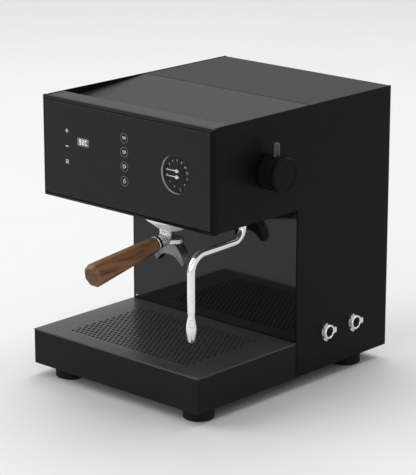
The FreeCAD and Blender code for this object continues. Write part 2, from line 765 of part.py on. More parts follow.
def group_body():
    """Brew group casting: mounting flange, wall round the gasket, and the flange that carries the boiler."""
    rim = RIM_RADIUS + CLEARANCE
    gasket_top = GASKET_Z + GASKET_HEIGHT
    outline = [(rim, FLOOR_Z), (GROUP_FLANGE_RADIUS, FLOOR_Z),
               (GROUP_FLANGE_RADIUS, FLOOR_Z + GROUP_FLANGE_THICKNESS),
               (BELL_RADIUS, FLOOR_Z + GROUP_FLANGE_THICKNESS),
               (BELL_RADIUS, BELL_TOP_Z - BOILER_FLANGE_THICKNESS),
               (BOILER_FLANGE_RADIUS, BELL_TOP_Z - BOILER_FLANGE_THICKNESS),
               (BOILER_FLANGE_RADIUS, BELL_TOP_Z),
               (SCREEN_STEM, BELL_TOP_Z), (SCREEN_STEM, gasket_top - SCREEN_DROP),
               (rim - GASKET_WIDTH, gasket_top - SCREEN_DROP), (rim - GASKET_WIDTH, gasket_top),
               (rim, gasket_top)]
    body = turned(outline)
    for place in bolt_places():
        body = body.cut(rod(BOLT_RADIUS, place - Z_AXIS * BOILER_FLANGE_THICKNESS, place))
    return body


def group_ring():
    """Bayonet ring under the group: a lip with two entries, below the channel for the portafilter's lugs."""
    rim = RIM_RADIUS + CLEARANCE
    channel = RIM_RADIUS + LUG_REACH + CLEARANCE
    ring = turned([(rim, BELL_Z), (BELL_RADIUS, BELL_Z), (BELL_RADIUS, FLOOR_Z), (channel, FLOOR_Z),
                   (channel, CHANNEL_Z), (rim, CHANNEL_Z)])
    for side in (0, 180):
        middle = side - ENTRY_TURN
        entry = wedge(rim - CLEARANCE, channel, BELL_Z, CHANNEL_Z, middle, LUG_ANGLE + ENTRY_MARGIN)
        ring = ring.cut(entry)
    return ring


def group_gasket():
    outer = RIM_RADIUS + CLEARANCE
    inner = outer - GASKET_WIDTH
    return turned([(inner, GASKET_Z), (outer, GASKET_Z), (outer, GASKET_Z + GASKET_HEIGHT),
                   (inner, GASKET_Z + GASKET_HEIGHT)])


def shower_screen():
    """Dished screen under the group, held up by its centre screw."""
    top = GASKET_Z + GASKET_HEIGHT - SCREEN_DROP
    radius = basket_radius() - BASKET_WALL - 2 * CLEARANCE
    dish = [(0, top - SCREEN_DROP), (radius, top - SCREEN_DROP), (radius, top),
            (radius - SCREEN_THICKNESS, top),
            (radius - SCREEN_THICKNESS, top - SCREEN_DROP + SCREEN_THICKNESS),
            (SCREEN_STEM, top - SCREEN_DROP + SCREEN_THICKNESS), (SCREEN_STEM, top + SCREEN_DROP),
            (0, top + SCREEN_DROP)]
    return turned(dish)


def boiler_shell():
    """Brew boiler: domed can with a bolting flange, open at the group."""
    low = BELL_TOP_Z
    flange_top = low + BOILER_FLANGE_THICKNESS
    top = low + BOILER_HEIGHT
    outer = BOILER_RADIUS
    inner = outer - BOILER_WALL
    outline = [(inner, low), (BOILER_FLANGE_RADIUS, low), (BOILER_FLANGE_RADIUS, flange_top),
               (outer, flange_top),
               (outer, top - BOILER_DOME), (outer - BOILER_DOME, top), (0, top), (0, top - BOILER_WALL),
               (inner - BOILER_DOME, top - BOILER_WALL), (inner, top - BOILER_DOME - BOILER_WALL)]
    shell = turned(outline)
    for place in bolt_places():
        shell = shell.cut(rod(BOLT_RADIUS, place, place + Z_AXIS * BOILER_FLANGE_THICKNESS))
    port_z = PIPE_Z
    return shell.cut(rod(PIPE_RADIUS, vec(inner - BOILER_WALL, GROUP_Y, port_z), vec(outer, GROUP_Y, port_z)))


def bolt_places():
    """Points on the joint face between group and boiler."""
    angles = [2 * math.pi * (k + 0.5) / BOLT_COUNT for k in range(BOLT_COUNT)]
    return [GROUP_AXIS + vec(BOLT_CIRCLE * math.cos(a), BOLT_CIRCLE * math.sin(a), BELL_TOP_Z)
            for a in angles]


def boiler_bolts():
    bolts = []
    for place in bolt_places():
        seat = place + Z_AXIS * BOILER_FLANGE_THICKNESS
        shank = rod(BOLT_RADIUS, place - Z_AXIS * BOILER_FLANGE_THICKNESS, seat)
        bolts.append(shank.fuse(hex_upright(BOLT_HEAD_ACROSS, seat, BOLT_HEAD_HEIGHT)))
    return Part.makeCompound(bolts)


def basket_radius():
    return BOWL_RADIUS - BOWL_WALL - BASKET_GAP


def bowl_blank():
    """The portafilter bowl's outer form, filled up to its rim."""
    return turned([(0, BOWL_BASE_Z), (BOWL_BASE_RADIUS, BOWL_BASE_Z), (BOWL_RADIUS, BOWL_BASE_Z + BOWL_CONE),
                   (BOWL_RADIUS, LUG_Z), (RIM_RADIUS, LUG_Z), (RIM_RADIUS, RIM_TOP_Z), (0, RIM_TOP_Z)])


def outflow():
    """The channel for the coffee, through the bowl's floor and the neck below it."""
    y = GROUP_Y - OUTFLOW_OFFSET
    return rod(OUTFLOW_RADIUS, vec(0, y, COLLAR_Z), vec(0, y, BOWL_FLOOR_Z))


def portafilter_body():
    """Cast bowl with the two bayonet lugs at its rim."""
    body = bowl_blank()
    for side in (0, 180):
        lug = wedge(BOWL_RADIUS, RIM_RADIUS + LUG_REACH, LUG_Z, LUG_Z + LUG_HEIGHT, side, LUG_ANGLE)
        body = body.fuse(lug)
    hollow = rod(BOWL_RADIUS - BOWL_WALL, vec(0, GROUP_Y, BOWL_FLOOR_Z), vec(0, GROUP_Y, RIM_TOP_Z))
    return body.cut(hollow).cut(outflow()).removeSplitter()


def portafilter_neck():
    """Bent neck under the bowl, with the spout's collar below it and the handle's stud in front."""
    top = vec(0, GROUP_Y - NECK_OFFSET, BOWL_BASE_Z + BOWL_WALL)
    corner = handle_point(NECK_OFFSET / math.cos(math.radians(HANDLE_TILT)))
    neck = bent_tube([top, corner, handle_point(SOCKET_LENGTH)], [NECK_BEND], NECK_RADIUS)
    collar_low = vec(0, GROUP_Y + COLLAR_OFFSET, COLLAR_Z)
    neck = neck.fuse(rod(COLLAR_RADIUS, collar_low, collar_low + Z_AXIS * COLLAR_THICKNESS))
    neck = neck.fuse(rod(STUD_RADIUS, corner, handle_point(SOCKET_LENGTH + STUD_LENGTH)))
    return neck.cut(bowl_blank()).cut(outflow()).removeSplitter()


def handle_point(along):
    """A point on the handle's axis, at a distance from the group's axis."""
    tilt = math.radians(HANDLE_TILT)
    return vec(0, GROUP_Y - along * math.cos(tilt), HANDLE_Z - along * math.sin(tilt))


def filter_basket():
    """Pressed steel cup hanging by its rim on the portafilter."""
    outer = basket_radius()
    inner = outer - BASKET_WALL
    base = BASKET_TOP_Z - BASKET_DEPTH
    outline = [(0, base), (outer - BASKET_TAPER, base), (outer, base + BASKET_TAPER), (outer, RIM_TOP_Z),
               (RIM_RADIUS, RIM_TOP_Z), (RIM_RADIUS, BASKET_TOP_Z), (inner, BASKET_TOP_Z),
               (inner, base + BASKET_TAPER), (inner - BASKET_TAPER + BASKET_WALL, base + BASKET_WALL),
               (0, base + BASKET_WALL)]
    return turned(outline)


def handle_ferrule():
    root = vec(0, GROUP_Y, HANDLE_Z)
    ring = pipe(FERRULE_RADIUS, STUD_RADIUS, root - Y_AXIS * SOCKET_LENGTH, root - Y_AXIS * HANDLE_START)
    ring.rotate(root, X_AXIS, HANDLE_TILT)
    return ring


def handle_grip():
    """Eight-sided tapered grip with a chamfered butt, bored for the stud."""
    root = vec(0, GROUP_Y, HANDLE_Z)
    stations = [(HANDLE_START, HANDLE_NECK - HANDLE_CHAMFER / 2),
                (HANDLE_START + HANDLE_CHAMFER / 4, HANDLE_NECK),
                (HANDLE_END - HANDLE_CHAMFER, HANDLE_BUTT), (HANDLE_END, HANDLE_BUTT - 2 * HANDLE_CHAMFER)]
    rings = []
    for along, across in stations:
        points = [root + vec(u, -along, v) for u, v in regular(8, across)]
        rings.append(Part.makePolygon(points + [points[0]]))
    grip = Part.makeLoft(rings, True, True)
    grip = grip.cut(rod(STUD_RADIUS, root, root - Y_AXIS * (SOCKET_LENGTH + STUD_LENGTH)))
    grip.rotate(root, X_AXIS, HANDLE_TILT)
    return grip


def twin_spout():
    """Arched twin spout under the collar, thinning to its two tips, each with a drip channel."""
    top = COLLAR_Z
    low = top - SPOUT_HEIGHT
    half = SPOUT_SPAN / 2
    arch = SPOUT_ARCH_SPAN / 2
    neck = SPOUT_TOP_WIDTH / 2
    shoulder = top - SPOUT_SHOULDER_DROP
    deep = SPOUT_DEPTH / 2
    thin = SPOUT_TIP_DEPTH / 2

    def at(x, z):
        return vec(x, GROUP_Y - deep, z)

    edges = [Part.LineSegment(at(-arch, low), at(-half, low)).toShape(),
             Part.Arc(at(-half, low), at(-SPOUT_SHOULDER, shoulder), at(-neck, top)).toShape(),
             Part.LineSegment(at(-neck, top), at(neck, top)).toShape(),
             Part.Arc(at(neck, top), at(SPOUT_SHOULDER, shoulder), at(half, low)).toShape(),
             Part.LineSegment(at(half, low), at(arch, low)).toShape(),
             Part.Arc(at(arch, low), at(0, low + SPOUT_ARCH_HEIGHT), at(-arch, low)).toShape()]
    spout = Part.Face(Part.Wire(edges)).extrude(Y_AXIS * SPOUT_DEPTH)
    taper_top = low + SPOUT_ARCH_HEIGHT
    taper = [(GROUP_Y - thin, low), (GROUP_Y + thin, low), (GROUP_Y + deep, taper_top), (GROUP_Y + deep, top),
             (GROUP_Y - deep, top), (GROUP_Y - deep, taper_top)]
    spout = spout.common(side_prism(taper, -SPOUT_SPAN, SPOUT_SPAN))
    outflow_y = GROUP_Y - OUTFLOW_OFFSET + OUTFLOW_RADIUS
    spout = spout.cut(rod(OUTFLOW_RADIUS, vec(0, outflow_y, top - SPOUT_INLET_DEPTH), vec(0, outflow_y, top)))
    for side in (-1, 1):
        x = side * (half + arch) / 2
        spout = spout.cut(rod(SPOUT_TIP_BORE, vec(x, GROUP_Y, low), vec(x, GROUP_Y, low + SPOUT_BORE_DEPTH)))
    return spout


def wand_gland():
    """Swivel gland of the wand: hex nut under the head, threaded body through it."""
    centre = vec(WAND_X, WAND_Y, 0)
    nut = hex_upright(GLAND_NUT_ACROSS, centre + Z_AXIS * (HEAD_Z - GLAND_NUT_HEIGHT), GLAND_NUT_HEIGHT)
    body = rod(GLAND_RADIUS, centre + Z_AXIS * HEAD_Z, centre + Z_AXIS * (HEAD_Z + GLAND_HEIGHT))
    gland = nut.fuse(body)
    bore_top = HEAD_Z + WAND_ENTRY + CLEARANCE
    gland = gland.cut(rod(WAND_RADIUS + SHAFT_CLEARANCE, centre + Z_AXIS * (HEAD_Z - GLAND_NUT_HEIGHT),
                          centre + Z_AXIS * bore_top))
    return gland.cut(rod(WAND_BORE, centre + Z_AXIS * bore_top, centre + Z_AXIS * (HEAD_Z + GLAND_HEIGHT)))


def wand_tube():
    """Steam pipe: down from the gland, forward, and down again to the nozzle."""
    high = HEAD_Z - WAND_DROP
    points = [vec(WAND_X, WAND_Y, HEAD_Z + WAND_ENTRY), vec(WAND_X, WAND_Y, high),
              vec(WAND_X, WAND_Y - WAND_REACH, high - WAND_SLOPE),
              vec(WAND_X, WAND_Y - WAND_REACH, WAND_TIP_Z + TIP_LENGTH)]
    return bent_tube(points, [WAND_UPPER_BEND, WAND_LOWER_BEND], WAND_RADIUS, WAND_BORE)


def wand_tip():
    """Steam nozzle on the end of the pipe: a narrow waist, a smooth bulge and a blunt end."""
    low = WAND_TIP_Z
    top = low + TIP_LENGTH

    def at(radius, height):
        return vec(WAND_X + radius, WAND_Y - WAND_REACH, height)

    side = Part.BSplineCurve()
    side.interpolate([at(TIP_END_RADIUS, low + TIP_END_CHAMFER), at(TIP_TAPER_RADIUS, low + TIP_TAPER),
                      at(TIP_RADIUS, low + TIP_BULGE), at(TIP_WAIST_RADIUS, low + TIP_WAIST),
                      at(WAND_RADIUS, top)])
    corners = [at(WAND_RADIUS, top), at(0, top), at(0, low), at(TIP_END_RADIUS - TIP_END_CHAMFER, low),
               at(TIP_END_RADIUS, low + TIP_END_CHAMFER)]
    edges = [side.toShape()]
    for first, second in zip(corners, corners[1:]):
        edges.append(Part.LineSegment(first, second).toShape())
    return Part.Face(Part.Wire(edges)).revolve(at(0, 0), Z_AXIS, 360)


def steam_pipe():
    return pipe(STEAM_PIPE_RADIUS, WAND_BORE, vec(WAND_X, WAND_Y, HEAD_Z + GLAND_HEIGHT),
                vec(WAND_X, WAND_Y, KNOB_Z - VALVE_HEIGHT / 2))


def valve_nose_end():
    return HALF + KNOB_STANDOFF / 2


def steam_valve_body():
    """Brass needle-valve block whose nose comes out through the side panel."""
    body = block((VALVE_X, VALVE_X + VALVE_LENGTH), (KNOB_Y - VALVE_DEPTH / 2, KNOB_Y + VALVE_DEPTH / 2),
                 (KNOB_Z - VALVE_HEIGHT / 2, KNOB_Z + VALVE_HEIGHT / 2))
    body = body.makeChamfer(KNOB_RIM, body.Edges)
    body = body.fuse(rod(VALVE_NOSE_RADIUS, vec(VALVE_X + VALVE_LENGTH, KNOB_Y, KNOB_Z),
                         vec(valve_nose_end(), KNOB_Y, KNOB_Z)))
    start = VALVE_X + VALVE_LENGTH / 2 - CLEARANCE
    return body.cut(rod(SPINDLE_RADIUS + SHAFT_CLEARANCE, vec(start, KNOB_Y, KNOB_Z),
                        vec(valve_nose_end(), KNOB_Y, KNOB_Z)))


def valve_spindle():
    return rod(SPINDLE_RADIUS, vec(VALVE_X + VALVE_LENGTH / 2, KNOB_Y, KNOB_Z),
               vec(KNOB_X + SPINDLE_SEAT, KNOB_Y, KNOB_Z))


def steam_knob():
    """Round knob with a groove behind its face and a shallow dish in it."""
    back = KNOB_X
    front = back + KNOB_DEPTH
    groove = front - KNOB_GROOVE_INSET
    r = KNOB_RADIUS
    outline = [(back, 0), (back, r - KNOB_CHAMFER), (back + KNOB_CHAMFER, r), (groove - KNOB_GROOVE, r),
               (groove - KNOB_GROOVE, r - KNOB_GROOVE), (groove, r - KNOB_GROOVE), (groove, r),
               (front - KNOB_CHAMFER, r), (front, r - KNOB_CHAMFER), (front, r - KNOB_RIM),
               (front - KNOB_FACE_RECESS, r - KNOB_RIM - KNOB_FACE_RECESS), (front - KNOB_FACE_RECESS, 0)]
    knob = turned_sideways(outline, KNOB_Y, KNOB_Z)
    knob = knob.cut(rod(SPINDLE_RADIUS, vec(back, KNOB_Y, KNOB_Z), vec(back + SPINDLE_SEAT, KNOB_Y, KNOB_Z)))
    x = back + KNOB_PIN_OFFSET
    seat = vec(x, KNOB_Y, KNOB_Z + r - KNOB_PIN_SEAT)
    return knob.cut(rod(KNOB_PIN_RADIUS, seat, vec(x, KNOB_Y, KNOB_Z + r)))


def knob_pin():
    """Metal peg on top of the knob, the lever that turns it."""
    low = KNOB_Z + KNOB_RADIUS - KNOB_PIN_SEAT
    high = KNOB_Z + KNOB_RADIUS + KNOB_PIN_RISE
    r = KNOB_PIN_RADIUS
    outline = [(0, low), (r, low), (r, high - KNOB_CHAMFER), (r - KNOB_CHAMFER, high), (0, high)]
    return turned(outline, vec(KNOB_X + KNOB_PIN_OFFSET, KNOB_Y, 0))


def hose_fitting(y):
    """Bulkhead hose fitting: a short open end with three lugs outside the panel, a shank inside it."""
    outside_end = vec(HALF + FITTING_REACH, y, FITTING_Z)
    inside_end = vec(HALF - FITTING_SHANK_LENGTH, y, FITTING_Z)
    centre = vec(HALF, y, FITTING_Z)
    half_width = FITTING_LUG_WIDTH / 2
    lug_round = rod(FITTING_LUG_REACH, centre, centre + X_AXIS * FITTING_LUG_THICKNESS)
    body = rod(FITTING_OUTER, centre, outside_end)
    for count in range(FITTING_LUGS):
        lug = block((HALF, HALF + FITTING_LUG_THICKNESS), (y, y + FITTING_LUG_REACH),
                    (FITTING_Z - half_width, FITTING_Z + half_width))
        lug.rotate(centre, X_AXIS, 360 * count / FITTING_LUGS)
        body = body.fuse(lug.common(lug_round))
    body = body.fuse(rod(FITTING_SHANK, inside_end, centre))
    return body.cut(rod(FITTING_BORE, inside_end, outside_end)).removeSplitter()


def water_inlet_fitting():
    return hose_fitting(FITTING_Y[0])


def drain_fitting():
    return hose_fitting(FITTING_Y[1])


def fitting_locknuts():
    nuts = []
    for y in FITTING_Y:
        nut = hex_along_x(LOCKNUT_ACROSS, INNER - LOCKNUT_LENGTH, INNER, y, FITTING_Z)
        bore = rod(FITTING_SHANK, vec(INNER - LOCKNUT_LENGTH, y, FITTING_Z), vec(INNER, y, FITTING_Z))
        nuts.append(nut.cut(bore))
    return Part.makeCompound(nuts)


def tank_shelf():
    """Folded shelf across the column that carries the tank and the heater block."""
    low = SHELF_Z
    high = SHELF_Z + SHEET
    front = COLUMN_Y + SPLASH_THICKNESS
    shelf = block((-INNER, INNER), (front, REAR_Y), (low, high))
    shelf = shelf.fuse(block((-INNER, INNER), (front, front + SHEET), (low - SHELF_FLANGE, low)))
    shelf = shelf.fuse(block((-INNER, INNER), (REAR_Y - SHEET, REAR_Y), (low - SHELF_FLANGE, low)))
    shelf = shelf.cut(rod(seat_radius(), vec(OUTLET_X, OUTLET_Y, low), vec(OUTLET_X, OUTLET_Y, high)))
    shelf = shelf.cut(rod(PIPE_RADIUS + CLEARANCE, vec(PIPE_X, PUMP_Y, low), vec(PIPE_X, PUMP_Y, high)))
    return shelf.removeSplitter()


def seat_radius():
    return OUTLET_RADIUS + CLEARANCE + SEAT_WALL


def tank_seat():
    """Socket under the shelf that the tank's outlet plugs into, with a hose nipple below."""
    top = SHELF_Z + SHEET
    bore = OUTLET_RADIUS + CLEARANCE
    floor = TANK_FLOOR_Z - OUTLET_LENGTH - CLEARANCE
    outer = seat_radius()
    flange_low = SHELF_Z - SEAT_FLANGE_THICKNESS
    base = floor - SEAT_FLOOR
    outline = [(bore, top), (outer, top), (outer, SHELF_Z), (outer + SEAT_FLANGE, SHELF_Z),
               (outer + SEAT_FLANGE, flange_low), (outer, flange_low), (outer, base), (NIPPLE_RADIUS, base),
               (NIPPLE_RADIUS, base - NIPPLE_LENGTH), (WAND_BORE, base - NIPPLE_LENGTH), (WAND_BORE, floor),
               (bore, floor)]
    return turned(outline, vec(OUTLET_X, OUTLET_Y, 0))


def nipple_end_z():
    return TANK_FLOOR_Z - OUTLET_LENGTH - CLEARANCE - SEAT_FLOOR - NIPPLE_LENGTH


def tank_block(inset, z_low):
    """A block as tall as the tank's rim with rounded upright edges, inset from the tank's outside."""
    half = TANK_WIDTH / 2 - inset
    blank = block((-half, half), (TANK_FRONT_Y + inset, TANK_REAR_Y - inset), (z_low, TANK_TOP_Z))
    upright = [e for e in blank.Edges if near(e.BoundBox.ZLength, TANK_TOP_Z - z_low)]
    return blank.makeFillet(TANK_CORNER - inset, upright)


def water_tank():
    """Open tank with rounded corners and a hole in its floor for the outlet."""
    tank = tank_block(0, TANK_FLOOR_Z).cut(tank_block(TANK_WALL, TANK_FLOOR_Z + TANK_WALL))
    hole = vec(OUTLET_X, OUTLET_Y, TANK_FLOOR_Z)
    return tank.cut(rod(OUTLET_RADIUS, hole, hole + Z_AXIS * TANK_WALL))


def tank_outlet():
    """Plug-in outlet set in the tank's floor."""
    top = vec(OUTLET_X, OUTLET_Y, TANK_FLOOR_Z + TANK_WALL)
    return pipe(OUTLET_RADIUS, OUTLET_BORE, top - Z_AXIS * (OUTLET_LENGTH + TANK_WALL), top)


def hinge_eye(x_low, x_high, bore):
    eye = rod(HINGE_RADIUS, vec(x_low, HINGE_Y, HINGE_Z), vec(x_high, HINGE_Y, HINGE_Z))
    return eye, rod(bore, vec(x_low, HINGE_Y, HINGE_Z), vec(x_high, HINGE_Y, HINGE_Z))


def tank_lugs():
    """Two lugs on the tank's rear wall that the lid's hinge pins run through."""
    lugs = []
    for side in (-1, 1):
        x_low = side * HINGE_X - HINGE_LUG_WIDTH / 2
        x_high = x_low + HINGE_LUG_WIDTH
        eye, bore = hinge_eye(x_low, x_high, HINGE_PIN_RADIUS + SHAFT_CLEARANCE)
        web = block((x_low, x_high), (TANK_REAR_Y, HINGE_Y), (HINGE_Z - HINGE_RADIUS, HINGE_Z))
        lugs.append(eye.fuse(web).cut(bore).removeSplitter())
    return Part.makeCompound(lugs)


def tank_lid():
    """Folded lid with skirts at the front and sides and hinge knuckles at the back."""
    half = INNER - LID_SIDE_GAP
    top = LID_Z + LID_SHEET
    skirt_low = LID_Z - LID_SKIRT
    skirt_rear = HINGE_Y - HINGE_RADIUS
    lid = block((-half, half), (LID_FRONT_Y, LID_REAR_Y), (LID_Z, top))
    lid = lid.fuse(block((-half, half), (LID_FRONT_Y, LID_FRONT_Y + LID_SHEET), (skirt_low, LID_Z)))
    for x_low in (-half, half - LID_SHEET):
        lid = lid.fuse(block((x_low, x_low + LID_SHEET), (LID_FRONT_Y, skirt_rear), (skirt_low, LID_Z)))
    for x in knuckle_starts():
        eye, bore = hinge_eye(x, x + HINGE_KNUCKLE_WIDTH, HINGE_PIN_RADIUS)
        web = block((x, x + HINGE_KNUCKLE_WIDTH), (HINGE_Y - HINGE_RADIUS, HINGE_Y + HINGE_RADIUS),
                    (HINGE_Z, LID_Z))
        lid = lid.fuse(eye.fuse(web).cut(bore))
    return lid.removeSplitter()


def knuckle_starts():
    """Lower X of each lid knuckle: one on each side of both tank lugs."""
    gap = HINGE_LUG_WIDTH / 2 + CLEARANCE
    return [s * HINGE_X + offset for s in (-1, 1) for offset in (-gap - HINGE_KNUCKLE_WIDTH, gap)]


def lid_hinge_pins():
    reach = HINGE_LUG_WIDTH / 2 + CLEARANCE + HINGE_KNUCKLE_WIDTH
    pins = []
    for side in (-1, 1):
        x = side * HINGE_X
        pins.append(rod(HINGE_PIN_RADIUS, vec(x - reach, HINGE_Y, HINGE_Z), vec(x + reach, HINGE_Y, HINGE_Z)))
    return Part.makeCompound(pins)


def pump_ends():
    """X of the pump's inlet tip, coil sides and outlet tip."""
    left = PUMP_X - PUMP_COIL / 2
    right = PUMP_X + PUMP_COIL / 2
    return left - PUMP_INLET_LENGTH, left, right, right + PUMP_OUTLET_LENGTH


def vibration_pump():
    """Solenoid pump: square coil frame with the inlet barrel on one side and the outlet barrel opposite."""
    inlet, left, right, outlet = pump_ends()
    half = PUMP_COIL / 2
    coil = block((left, right), (PUMP_Y - half, PUMP_Y + half), (PUMP_Z - half, PUMP_Z + half))
    coil = coil.makeChamfer(BLOCK_FIN, edges_where(coil, lambda p: near(p.x, left)))
    body = coil.fuse(rod(PUMP_INLET_RADIUS, vec(inlet, PUMP_Y, PUMP_Z), vec(left, PUMP_Y, PUMP_Z)))
    return body.fuse(rod(PUMP_OUTLET_RADIUS, vec(right, PUMP_Y, PUMP_Z), vec(outlet, PUMP_Y, PUMP_Z)))


def pump_mounts():
    """Rubber blocks on the base plate that hold both pump barrels."""
    inlet, left, right, outlet = pump_ends()
    mounts = []
    for x, radius in (((inlet + left) / 2, PUMP_INLET_RADIUS), ((right + outlet) / 2, PUMP_OUTLET_RADIUS)):
        x_low = x - MOUNT_THICKNESS / 2
        mount = block((x_low, x_low + MOUNT_THICKNESS), (PUMP_Y - MOUNT_DEPTH / 2, PUMP_Y + MOUNT_DEPTH / 2),
                      (PLATE_Z, PUMP_Z + MOUNT_DEPTH / 2))
        hole = rod(radius, vec(x_low, PUMP_Y, PUMP_Z), vec(x_low + MOUNT_THICKNESS, PUMP_Y, PUMP_Z))
        mounts.append(mount.cut(hole))
    return Part.makeCompound(mounts)


def suction_hose():
    """Hose from the tank's socket down to the pump's inlet."""
    inlet = pump_ends()[0]
    points = [vec(OUTLET_X, OUTLET_Y, nipple_end_z()), vec(OUTLET_X, OUTLET_Y, PUMP_Z),
              vec(inlet, PUMP_Y, PUMP_Z)]
    return bent_tube(points, [HOSE_BEND], HOSE_RADIUS, WAND_BORE)


def brew_pipe():
    """Copper pipe from the pump up past the tank and forward to the boiler."""
    outlet = pump_ends()[3]
    points = [vec(outlet, PUMP_Y, PUMP_Z), vec(PIPE_X, PUMP_Y, PUMP_Z), vec(PIPE_X, PUMP_Y, PIPE_Z),
              vec(PIPE_X, GROUP_Y, PIPE_Z), vec(BOILER_RADIUS, GROUP_Y, PIPE_Z)]
    return bent_tube(points, [PIPE_BEND] * 3, PIPE_RADIUS)


def thermoblock():
    """Finned heater block for steam, standing on the shelf behind the splash plate."""
    half = BLOCK_WIDTH / 2
    front = BLOCK_FRONT_Y
    low = SHELF_Z + SHEET
    body = block((-half, half), (front, front + BLOCK_DEPTH), (low, low + BLOCK_HEIGHT))
    pitch = BLOCK_HEIGHT / (BLOCK_FIN_COUNT + 1)
    for k in range(BLOCK_FIN_COUNT):
        z = low + (k + 1) * pitch - BLOCK_FIN / 2
        body = body.cut(block((-half, half), (front, front + BLOCK_FIN), (z, z + BLOCK_FIN)))
    return body


def solenoid_valve():
    """Brew valve on the head floor beside the group."""
    half = SOLENOID_WIDTH / 2
    coil = block((SOLENOID_X - half, SOLENOID_X + half), (GROUP_Y - half, GROUP_Y + half),
                 (FLOOR_Z, FLOOR_Z + SOLENOID_HEIGHT))
    top = vec(SOLENOID_X, GROUP_Y, FLOOR_Z + SOLENOID_HEIGHT)
    return coil.fuse(rod(SOLENOID_CORE_RADIUS, top, top + Z_AXIS * SOLENOID_CORE_RISE))


def control_board():
    """Power board on standoffs inside the left panel, with its transformer and relays."""
    face_x = -INNER + PCB_STANDOFF
    mid_y = (COLUMN_Y + REAR_Y) / 2
    low = BASE_Z + PCB_RISE
    y_low = mid_y - PCB_DEPTH / 2
    board = block((face_x, face_x + BOARD_THICKNESS), (y_low, y_low + PCB_DEPTH), (low, low + PCB_HEIGHT))
    for y in (y_low + PCB_STANDOFF, y_low + PCB_DEPTH - PCB_STANDOFF):
        for z in (low + PCB_STANDOFF, low + PCB_HEIGHT - PCB_STANDOFF):
            board = board.fuse(rod(PCB_STANDOFF / 2, vec(-INNER, y, z), vec(face_x, y, z)))
    surface = face_x + BOARD_THICKNESS
    for k in range(RELAY_COUNT):
        y = y_low + PCB_STANDOFF + k * (RELAY_SIZE + PCB_STANDOFF)
        z = low + PCB_HEIGHT / 2
        board = board.fuse(block((surface, surface + RELAY_HEIGHT), (y, y + RELAY_SIZE), (z, z + RELAY_SIZE)))
    return board.removeSplitter()


def hole_places():
    """Middles of the cover's holes: staggered rows over the hole field."""
    row_pitch = HOLE_PITCH * math.sqrt(3) / 2
    rows = int(HOLE_FIELD_DEPTH // row_pitch) + 1
    columns = int(HOLE_FIELD_WIDTH // HOLE_PITCH) + 1
    places = []
    for row in range(rows):
        shift = HOLE_PITCH / 2 if row % 2 else 0
        count = columns - row % 2
        first = -(columns - 1) * HOLE_PITCH / 2 + shift
        y = BASE_Y + HOLE_FRONT_MARGIN + row * row_pitch
        places += [(first + k * HOLE_PITCH, y) for k in range(count)]
    return places


def upright_front_edges(blank):
    return [e for e in edges_where(blank, lambda p: near(p.y, BASE_Y)) if near(e.BoundBox.XLength, 0)]


def drip_cover():
    """Perforated plate that lies on the drip tray's rim, with its outer edges rounded."""
    plate = block((-HALF, HALF), (BASE_Y, COVER_REAR_Y), (COVER_PLATE_Z, COVER_TOP_Z))
    top_edges = edges_where(plate, lambda p: near(p.z, COVER_TOP_Z))
    rounded = [e for e in top_edges if not near(e.BoundBox.YMin, COVER_REAR_Y)]
    plate = plate.makeFillet(COVER_ROUND, rounded + upright_front_edges(plate))
    holes = []
    half = HOLE_SIZE / 2
    for x, y in hole_places():
        corners = [(x - half, y), (x, y - half), (x + half, y), (x, y + half)]
        holes.append(face([vec(u, v, COVER_PLATE_Z) for u, v in corners]).extrude(Z_AXIS * COVER_SHEET))
    return plate.cut(Part.makeCompound(holes))


def drip_tray():
    """Drawer-like tray: a pan on the base plate's runners, with walls that reach down past the plate."""
    outer = block((-HALF, HALF), (BASE_Y, COVER_REAR_Y), (BASE_Z, TRAY_TOP_Z))
    outer = outer.makeFillet(COVER_ROUND, upright_front_edges(outer))
    pan = block((-SKIRT_INNER, SKIRT_INNER), (BASE_Y + TRAY_WALL, COVER_REAR_Y - TRAY_WALL),
                (TRAY_Z + TRAY_WALL, TRAY_TOP_Z))
    under = block((-SKIRT_INNER, SKIRT_INNER), (BASE_Y + TRAY_WALL, COVER_REAR_Y), (BASE_Z, TRAY_Z))
    return outer.cut(pan).cut(under)


PIECES = [base_plate, rubber_feet, left_side_panel, right_side_panel, rear_panel, power_inlet,
          backsplash, head_floor, cup_tray, front_frame, control_glass, touch_board, display_module,
          gauge_ring, gauge_lens, gauge_dial, gauge_case, pump_needle, boiler_needle, group_body,
          group_ring, group_gasket, shower_screen, boiler_shell, boiler_bolts, portafilter_body,
          portafilter_neck, filter_basket, handle_ferrule, handle_grip, twin_spout, wand_gland,
          wand_tube, wand_tip, steam_pipe, steam_valve_body, valve_spindle, steam_knob, knob_pin,
          water_inlet_fitting, drain_fitting, fitting_locknuts, tank_shelf, tank_seat, water_tank,
          tank_outlet, tank_lugs, tank_lid, lid_hinge_pins, vibration_pump, pump_mounts, suction_hose,
          brew_pipe, thermoblock, solenoid_valve, control_board, drip_cover, drip_tray]


def main():
    os.makedirs("parts", exist_ok=True)
    for piece in PIECES:
        shape = piece()
        shape.translate(-ORIGIN)
        shape.exportStep(os.path.join("parts", piece.__name__ + ".step"))
        print(piece.__name__, len(shape.Solids), round(shape.Volume), shape.isValid())


if __name__ == "__main__":
    main()
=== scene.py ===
"""Looks of the countertop espresso machine: materials, printed marks, grate, small trim, light, camera."""
import bmesh
import bpy
import math
from mathutils import Matrix, Vector


